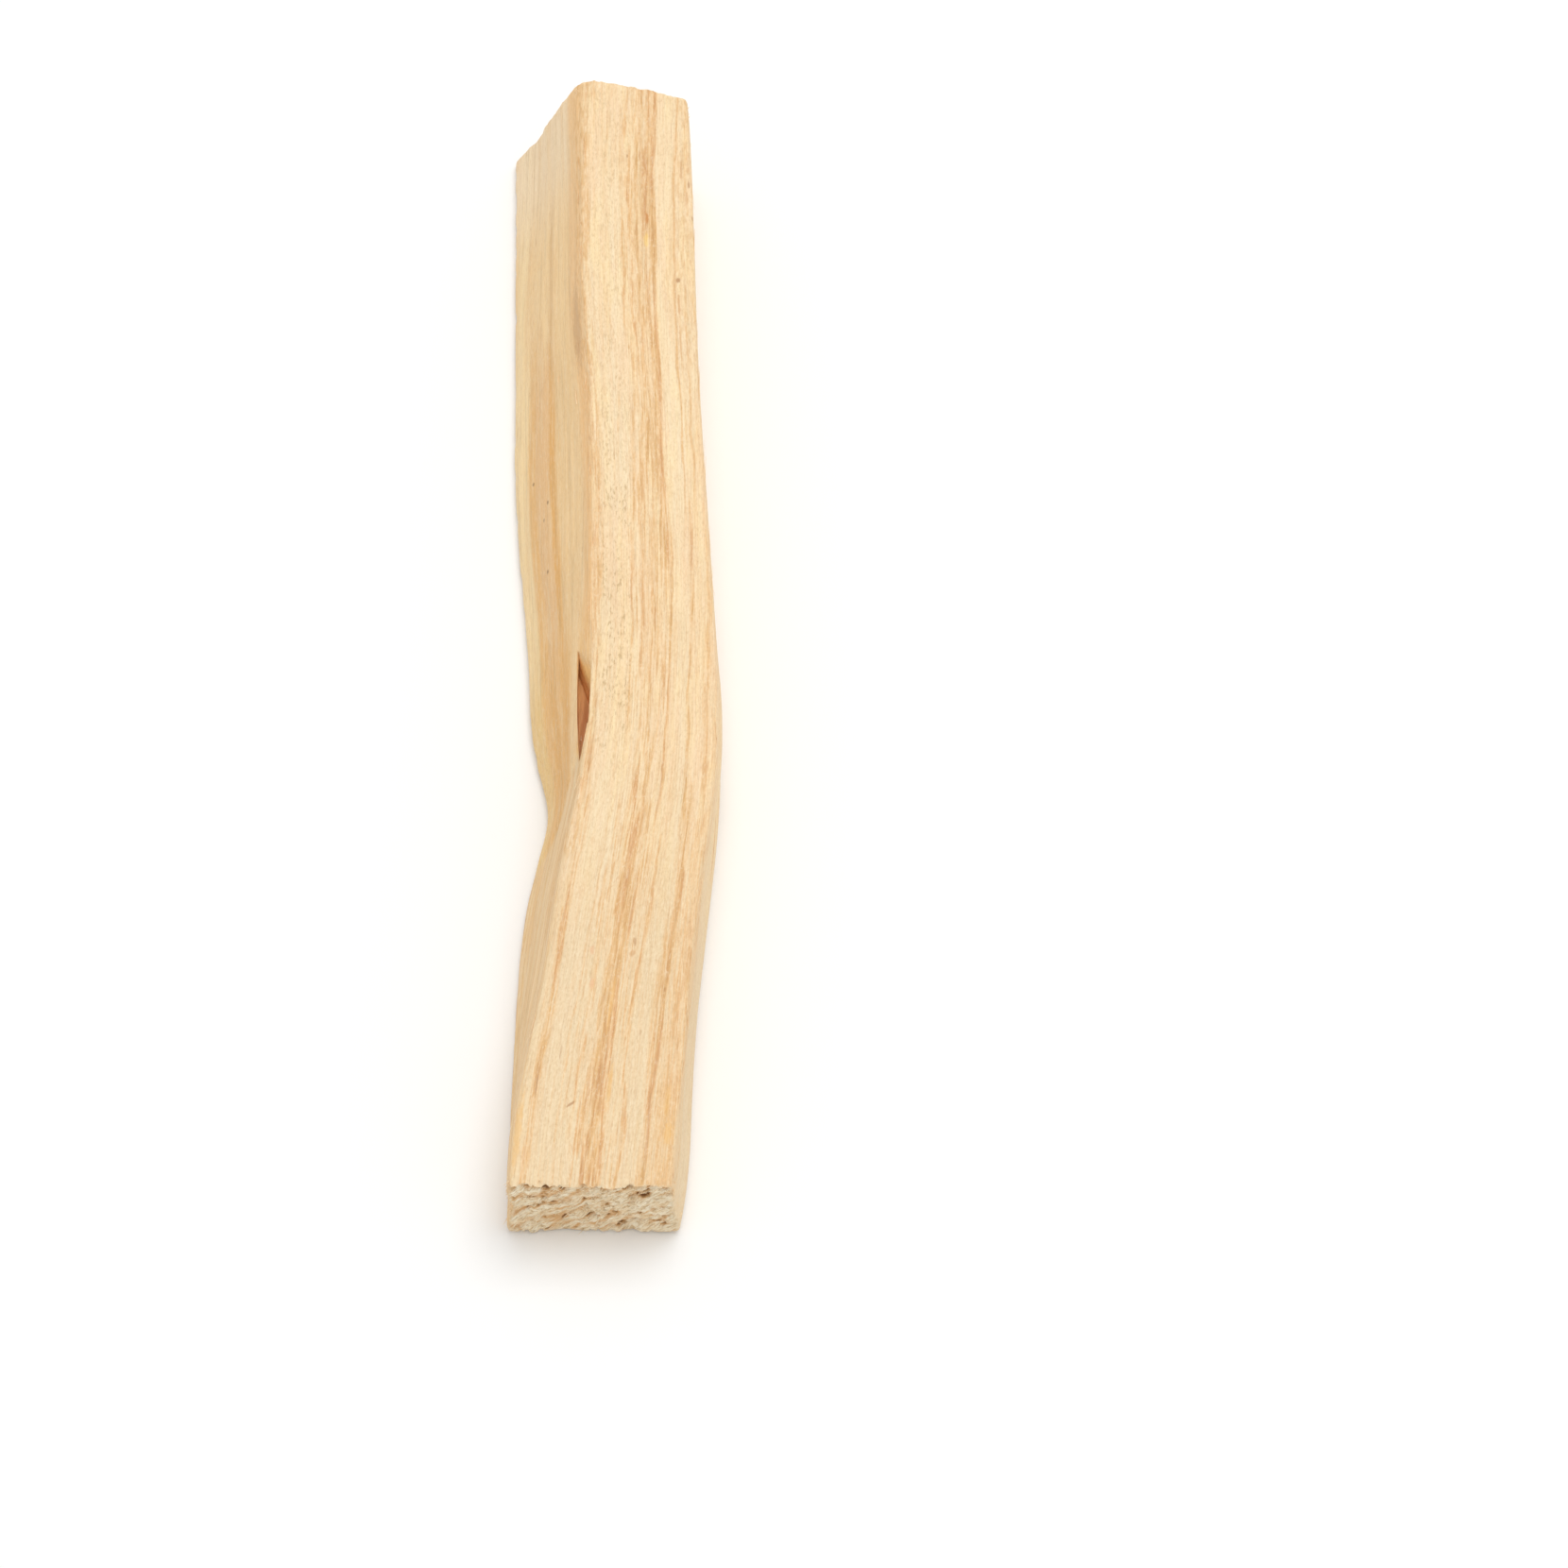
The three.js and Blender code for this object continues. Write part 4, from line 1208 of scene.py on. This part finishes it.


# Small marks, as [x, y on the stick, half length, half width, turn in degrees, colour, strength]
# One of them, the thin grey line by the bend, is a painted shadow beside the left arris
MARKS = [
    (-2.53, -42.84, 0.42, 0.12, 42, MARK_BROWN, 0.65),
    (5.07, 30.57, 0.32, 0.25, 0, MARK_BROWN, 0.75),
    (5.14, 28.3, 1.5, 0.14, 0, MARK_TAN, 0.6),
    (5.3, 24.6, 2.8, 0.08, 0, MARK_TAN, 0.5),
    (5.22, 41.01, 1.3, 0.14, 0, MARK_TAN, 0.55),
    (5.7, 38.31, 1.1, 0.12, 0, MARK_TAN, 0.55),
    (5.85, 39.61, 0.45, 0.12, 0, MARK_BROWN, 0.6),
    (6.17, 36.48, 0.4, 0.14, 0, MARK_BROWN, 0.65),
    (2.49, 36.38, 0.7, 0.16, 0, MARK_RUST, 0.8),
    (2.43, 34.34, 0.9, 0.24, 0, MARK_GOLD, 0.6),
    (0.81, 42.42, 0.2, 0.12, 0, MARK_UMBER, 0.6),
    (1.82, 42.45, 0.7, 0.1, 0, MARK_TAN, 0.6),
    (-3.1, 27.0, 5.2, 0.9, 0, MARK_GREY_AND_SHADE, 0.55),
    (-6.57, 15.59, 0.22, 0.18, 0, MARK_DARK, 0.7),
    (-5.32, 12.77, 0.22, 0.17, 0, MARK_DARK, 0.7),
    (-5.62, 11.38, 0.2, 0.15, 0, MARK_DARK, 0.6),
    (-5.23, 6.57, 0.26, 0.18, 0, MARK_DARK, 0.7),
    (0.77, -23.73, 0.6, 0.07, 25, MARK_SAND, 0.6),
    (0.22, -24.55, 0.5, 0.07, 45, MARK_SAND, 0.6),
    (2.2, -29.1, 0.45, 0.16, -8, MARK_UMBER, 0.6),
    (2.02, -30.1, 0.4, 0.24, 20, MARK_TAN, 0.55),
    # Painted shadow: a thin grey line just left of the left arris by the bend
    (-2.75, -16.5, 4.5, 0.12, 0, MARK_GREY_AND_SHADE, 0.5),
    (-1.06, -29.89, 0.5, 0.2, 0, MARK_ROSY, 0.4),
    (-1.06, -32.7, 0.6, 0.2, 0, MARK_ROSY, 0.4),
    (4.54, -33.24, 0.3, 0.1, 0, MARK_BROWN, 0.45),
    (2.7, -36.73, 0.3, 0.1, 0, MARK_UMBER, 0.35),
    (0.44, -34.16, 3.0, 0.18, 0, MARK_AMBER, 0.5),
    (0.38, -41.29, 2.6, 0.18, 0, MARK_AMBER, 0.5),
    (-3.34, -38.45, 0.9, 0.07, 0, MARK_UMBER, 0.4),
    (-5.09, -41.13, 1.5, 0.09, 0, MARK_UMBER, 0.7),
    (-6.5, -45.5, 4.2, 0.3, 0, MARK_AMBER, 0.55),
    (4.77, -42.88, 2.0, 0.22, 0, MARK_AMBER, 0.45),
    (4.86, -45.44, 1.3, 0.34, 0, MARK_AMBER, 0.6),
]


def placed_marks(tree, lines):
    """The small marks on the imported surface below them, turned into places in the grain."""
    marks = []
    for x, y, half_length, half_width, turn, shade, strength in MARKS:
        centre = lines.of([seen_from_above(tree, x, y)[0]])[0].tolist()
        marks.append((centre, half_length, half_width, math.radians(turn), shade, strength))
    return marks


# Torn fibres

def torn_fibre(foot, lie, girth, end_share):
    """A fibre's foot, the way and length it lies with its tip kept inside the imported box, its
    thickness, and how much it is coloured as end grain."""
    tip = np.clip(foot + lie, LOW + FIBRE_ROOM, HIGH - FIBRE_ROOM)
    return foot, tip - foot, girth, end_share


def fibres_standing(rows, whole):
    """Tufts on both cuts, fuzz round them, and splinters lifting along the upper arrises."""
    random = np.random.default_rng(FIBRE_PLACE_SEED)
    fibres = []
    out = outward(rows)
    comb = np.array([math.cos(RING_SLANT), 0, math.sin(RING_SLANT)])
    for end, row in ((-1, rows[0]), (1, rows[-1])):
        middle = row.mean(axis=0)
        for _ in range(CUT_FIBRES):
            place = middle + (row[random.integers(COLUMNS)] - middle) * random.uniform(*CUT_FIBRE_PLACE)
            hit = seen_from_end(whole, place[0], place[2], end)
            if hit is None:
                continue
            lie = comb * random.choice([-1, 1]) + np.array([0, end * random.uniform(*CUT_FIBRE_LEAN), 0])
            lie[2] += random.normal(0, CUT_FIBRE_SWAY)
            lie *= random.uniform(*CUT_FIBRE_LENGTH)
            girth = random.uniform(*CUT_FIBRE_GIRTH)
            fibres.append(torn_fibre(np.array(hit), lie, girth, CUT_FIBRE_END_SHARE))
    for end, row in ((-1, 1), (1, ROWS - 2)):
        for _ in range(EDGE_FIBRES):
            column = random.integers(COLUMNS)
            if rows[row, column, 2] < LOWEST_FIBRE:
                continue
            lie = np.array([0, end, 0]) + out[row, column] * random.uniform(*EDGE_FIBRE_LEAN)
            lie[0] += random.normal(0, EDGE_FIBRE_SWAY)
            foot = rows[row, column] - out[row, column] * EDGE_FIBRE_SUNK
            foot[1] += end * random.uniform(*EDGE_FIBRE_SHIFT)
            lie *= random.uniform(*EDGE_FIBRE_LENGTH)
            girth = random.uniform(*EDGE_FIBRE_GIRTH)
            fibres.append(torn_fibre(foot, lie, girth, EDGE_FIBRE_END_SHARE))
    for arris in (0, ACROSS):
        for _ in range(ARRIS_FIBRES):
            row = random.integers(4, ROWS - 5)
            column = (arris + random.integers(*ARRIS_FIBRE_STEPS)) % COLUMNS
            next_row = np.clip(row + ARRIS_FIBRE_ROWS * random.choice([-1, 1]), 0, ROWS - 1)
            ahead = rows[next_row, column] - rows[row, column]
            lie = ahead / np.linalg.norm(ahead) + out[row, column] * random.uniform(*ARRIS_FIBRE_LEAN)
            foot = rows[row, column] - out[row, column] * ARRIS_FIBRE_SUNK
            lie *= random.uniform(*ARRIS_FIBRE_LENGTH)
            fibres.append(torn_fibre(foot, lie, random.uniform(*ARRIS_FIBRE_GIRTH), 0))
    for x, y, length, girth in SPLINTERS:
        hit, normal = seen_from_above(whole, x, y)
        lie = np.array([0, 1, 0]) + np.array(normal) * SPLINTER_LEAN
        fibres.append(torn_fibre(np.array(hit), lie * length, girth, 0))
    return fibres


def fibre_tree():
    """A Geometry Nodes tree that stands one bent, tapering fibre on each foot."""
    tree = bpy.data.node_groups.new("torn_fibre", "GeometryNodeTree")
    sockets = {"Feet": "Geometry", "Bend": "Float", "Tip": "Float", "Seed": "Int", "Wood": "Material"}
    for name, kind in sockets.items():
        tree.interface.new_socket(name, in_out="INPUT", socket_type="NodeSocket" + kind)
    tree.interface.new_socket("Fibres", in_out="OUTPUT", socket_type="NodeSocketGeometry")
    nodes = Nodes(tree)
    given = nodes.add("NodeGroupInput", {}, {}).socket.node.outputs
    given = {socket.name: Link(nodes, socket) for socket in given if socket.name}
    cone = nodes.add("GeometryNodeMeshCone", {"fill_type": "TRIANGLE_FAN"}, {
        "Vertices": FIBRE_SIDES, "Side Segments": FIBRE_PIECES,
        "Radius Top": given["Tip"], "Radius Bottom": 1.0, "Depth": 1.0,
    })
    height = nodes.add("GeometryNodeInputPosition", {}, {}).parts()[2]
    bend = nodes.combined(given["Bend"] * height * height, 0.0, 0.0)
    bent = nodes.add("GeometryNodeSetPosition", {}, {"Geometry": cone, "Offset": bend})
    lie = nodes.add("GeometryNodeInputNamedAttribute", {"data_type": "FLOAT_VECTOR"}, {"Name": "lie"})
    girth = nodes.add("GeometryNodeInputNamedAttribute", {"data_type": "FLOAT"}, {"Name": "girth"})
    length = nodes.add("ShaderNodeVectorMath", {"operation": "LENGTH"}, {0: lie}, "Value")
    facing = nodes.add("FunctionNodeAlignRotationToVector", {"axis": "Z"}, {"Vector": lie})
    angle = nodes.add("FunctionNodeRandomValue", {"data_type": "FLOAT"}, {
        "Max": 2 * math.pi, "Seed": given["Seed"],
    }, 1)
    spin = nodes.add("FunctionNodeAxisAngleToRotation", {}, {"Axis": (0, 0, 1), "Angle": angle})
    turned = nodes.add("FunctionNodeRotateRotation", {"rotation_space": "LOCAL"}, {
        "Rotation": facing, "Rotate By": spin,
    })
    standing = nodes.add("GeometryNodeInstanceOnPoints", {}, {
        "Points": given["Feet"], "Instance": bent, "Rotation": turned,
        "Scale": nodes.combined(girth, girth, length),
    })
    real = nodes.add("GeometryNodeRealizeInstances", {}, {"Geometry": standing})
    made = nodes.add("GeometryNodeSetMaterial", {}, {"Geometry": real, "Material": given["Wood"]})
    nodes.add("NodeGroupOutput", {}, {"Fibres": made})
    return tree


def torn_fibres(rows, lines, stick, material):
    """The fine fibres and splinters that splitting and sawing left standing."""
    polygons = [list(polygon.vertices) for polygon in stick.data.polygons]
    whole = BVHTree.FromPolygons(points_of(stick.data).tolist(), polygons)
    feet, lies, girths, end_shares = map(np.array, zip(*fibres_standing(rows, whole)))
    piece = mesh_of("torn_fibres", feet, [])
    keep_values(piece.data, "lie", lies * MM)
    keep_values(piece.data, "girth", girths * MM)
    keep_values(piece.data, "cut", end_shares)
    tree = fibre_tree()
    standing = piece.modifiers.new("fibres", "NODES")
    standing.node_group = tree
    values = {"Bend": FIBRE_BEND, "Tip": FIBRE_TIP, "Seed": FIBRE_SPIN_SEED, "Wood": material}
    for socket in tree.interface.items_tree:
        if socket.in_out == "INPUT" and socket.name in values:
            standing[socket.identifier] = values[socket.name]
    mesh = finished_mesh(piece)
    piece.modifiers.remove(standing)
    piece.data = mesh
    inside = np.clip(points_of(mesh), LOW, HIGH)
    mesh.vertices.foreach_set("co", (inside * MM).ravel())
    keep_values(mesh, "grain", lines.of(inside))
    for name in ("hollow", "left", "split", "far_wall"):
        keep_values(mesh, name, np.zeros(len(mesh.vertices)))
    return piece


# Setting

def surroundings():
    """A plain pale floor just below the stick, a soft light and pale surroundings."""
    corners = [(x * FLOOR_REACH, y * FLOOR_REACH, -FLOOR_DROP)
               for x, y in ((-1, -1), (1, -1), (1, 1), (-1, 1))]
    floor = mesh_of("floor", corners, [(0, 1, 2, 3)])
    material = bpy.data.materials.new("pale_floor")
    material.use_nodes = True
    nodes = Nodes(material.node_tree)
    shader = nodes.add("ShaderNodeBsdfPrincipled", {}, {
        "Base Color": FLOOR_TONE, "Roughness": FLOOR_ROUGHNESS,
    })
    nodes.add("ShaderNodeOutputMaterial", {}, {"Surface": shader})
    floor.data.materials.append(material)

    world = bpy.data.worlds.new("pale_room")
    world.use_nodes = True
    nodes = Nodes(world.node_tree)
    glow = nodes.add("ShaderNodeBackground", {}, {"Color": (1, 1, 1, 1), "Strength": ROOM_GLOW})
    nodes.add("ShaderNodeOutputWorld", {}, {"Surface": glow})
    bpy.context.scene.world = world

    light = bpy.data.lights.new("soft_window", "AREA")
    light.shape = "DISK"
    light.size = WINDOW_SIZE
    light.energy = WINDOW_POWER
    window = bpy.data.objects.new("soft_window", light)
    window.location = WINDOW_PLACE
    window.rotation_euler = (-Vector(WINDOW_PLACE)).to_track_quat("-Z", "Y").to_euler()
    bpy.context.scene.collection.objects.link(window)


def camera():
    """The photograph's view: from the thin end, 60 degrees above the horizon."""
    lens = bpy.data.cameras.new("camera")
    lens.sensor_fit = "HORIZONTAL"
    lens.sensor_width = SENSOR
    lens.lens = CAMERA_LENS
    seen_from = bpy.data.objects.new("camera", lens)
    back = Vector((0, -math.cos(CAMERA_ELEVATION), math.sin(CAMERA_ELEVATION)))
    seen_from.location = CAMERA_AIM + back * CAMERA_DISTANCE
    seen_from.rotation_euler = (math.pi / 2 - CAMERA_ELEVATION, 0, 0)
    bpy.context.scene.collection.objects.link(seen_from)
    bpy.context.scene.camera = seen_from


tree = packed_solid()
rows = long_faces(tree)
lines = GrainLines(rows)
rows = with_fibre_relief(rows, lines)
stick = split_stick(tree, rows, lines)
palo_santo = wood(placed_marks(tree, lines))
stick.data.materials.append(palo_santo)
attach(stick, "root")
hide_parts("stick")

fibres = torn_fibres(rows, lines, stick, palo_santo)
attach(fibres, "root")

surroundings()
camera()
bpy.context.scene.view_settings.view_transform = "Standard"
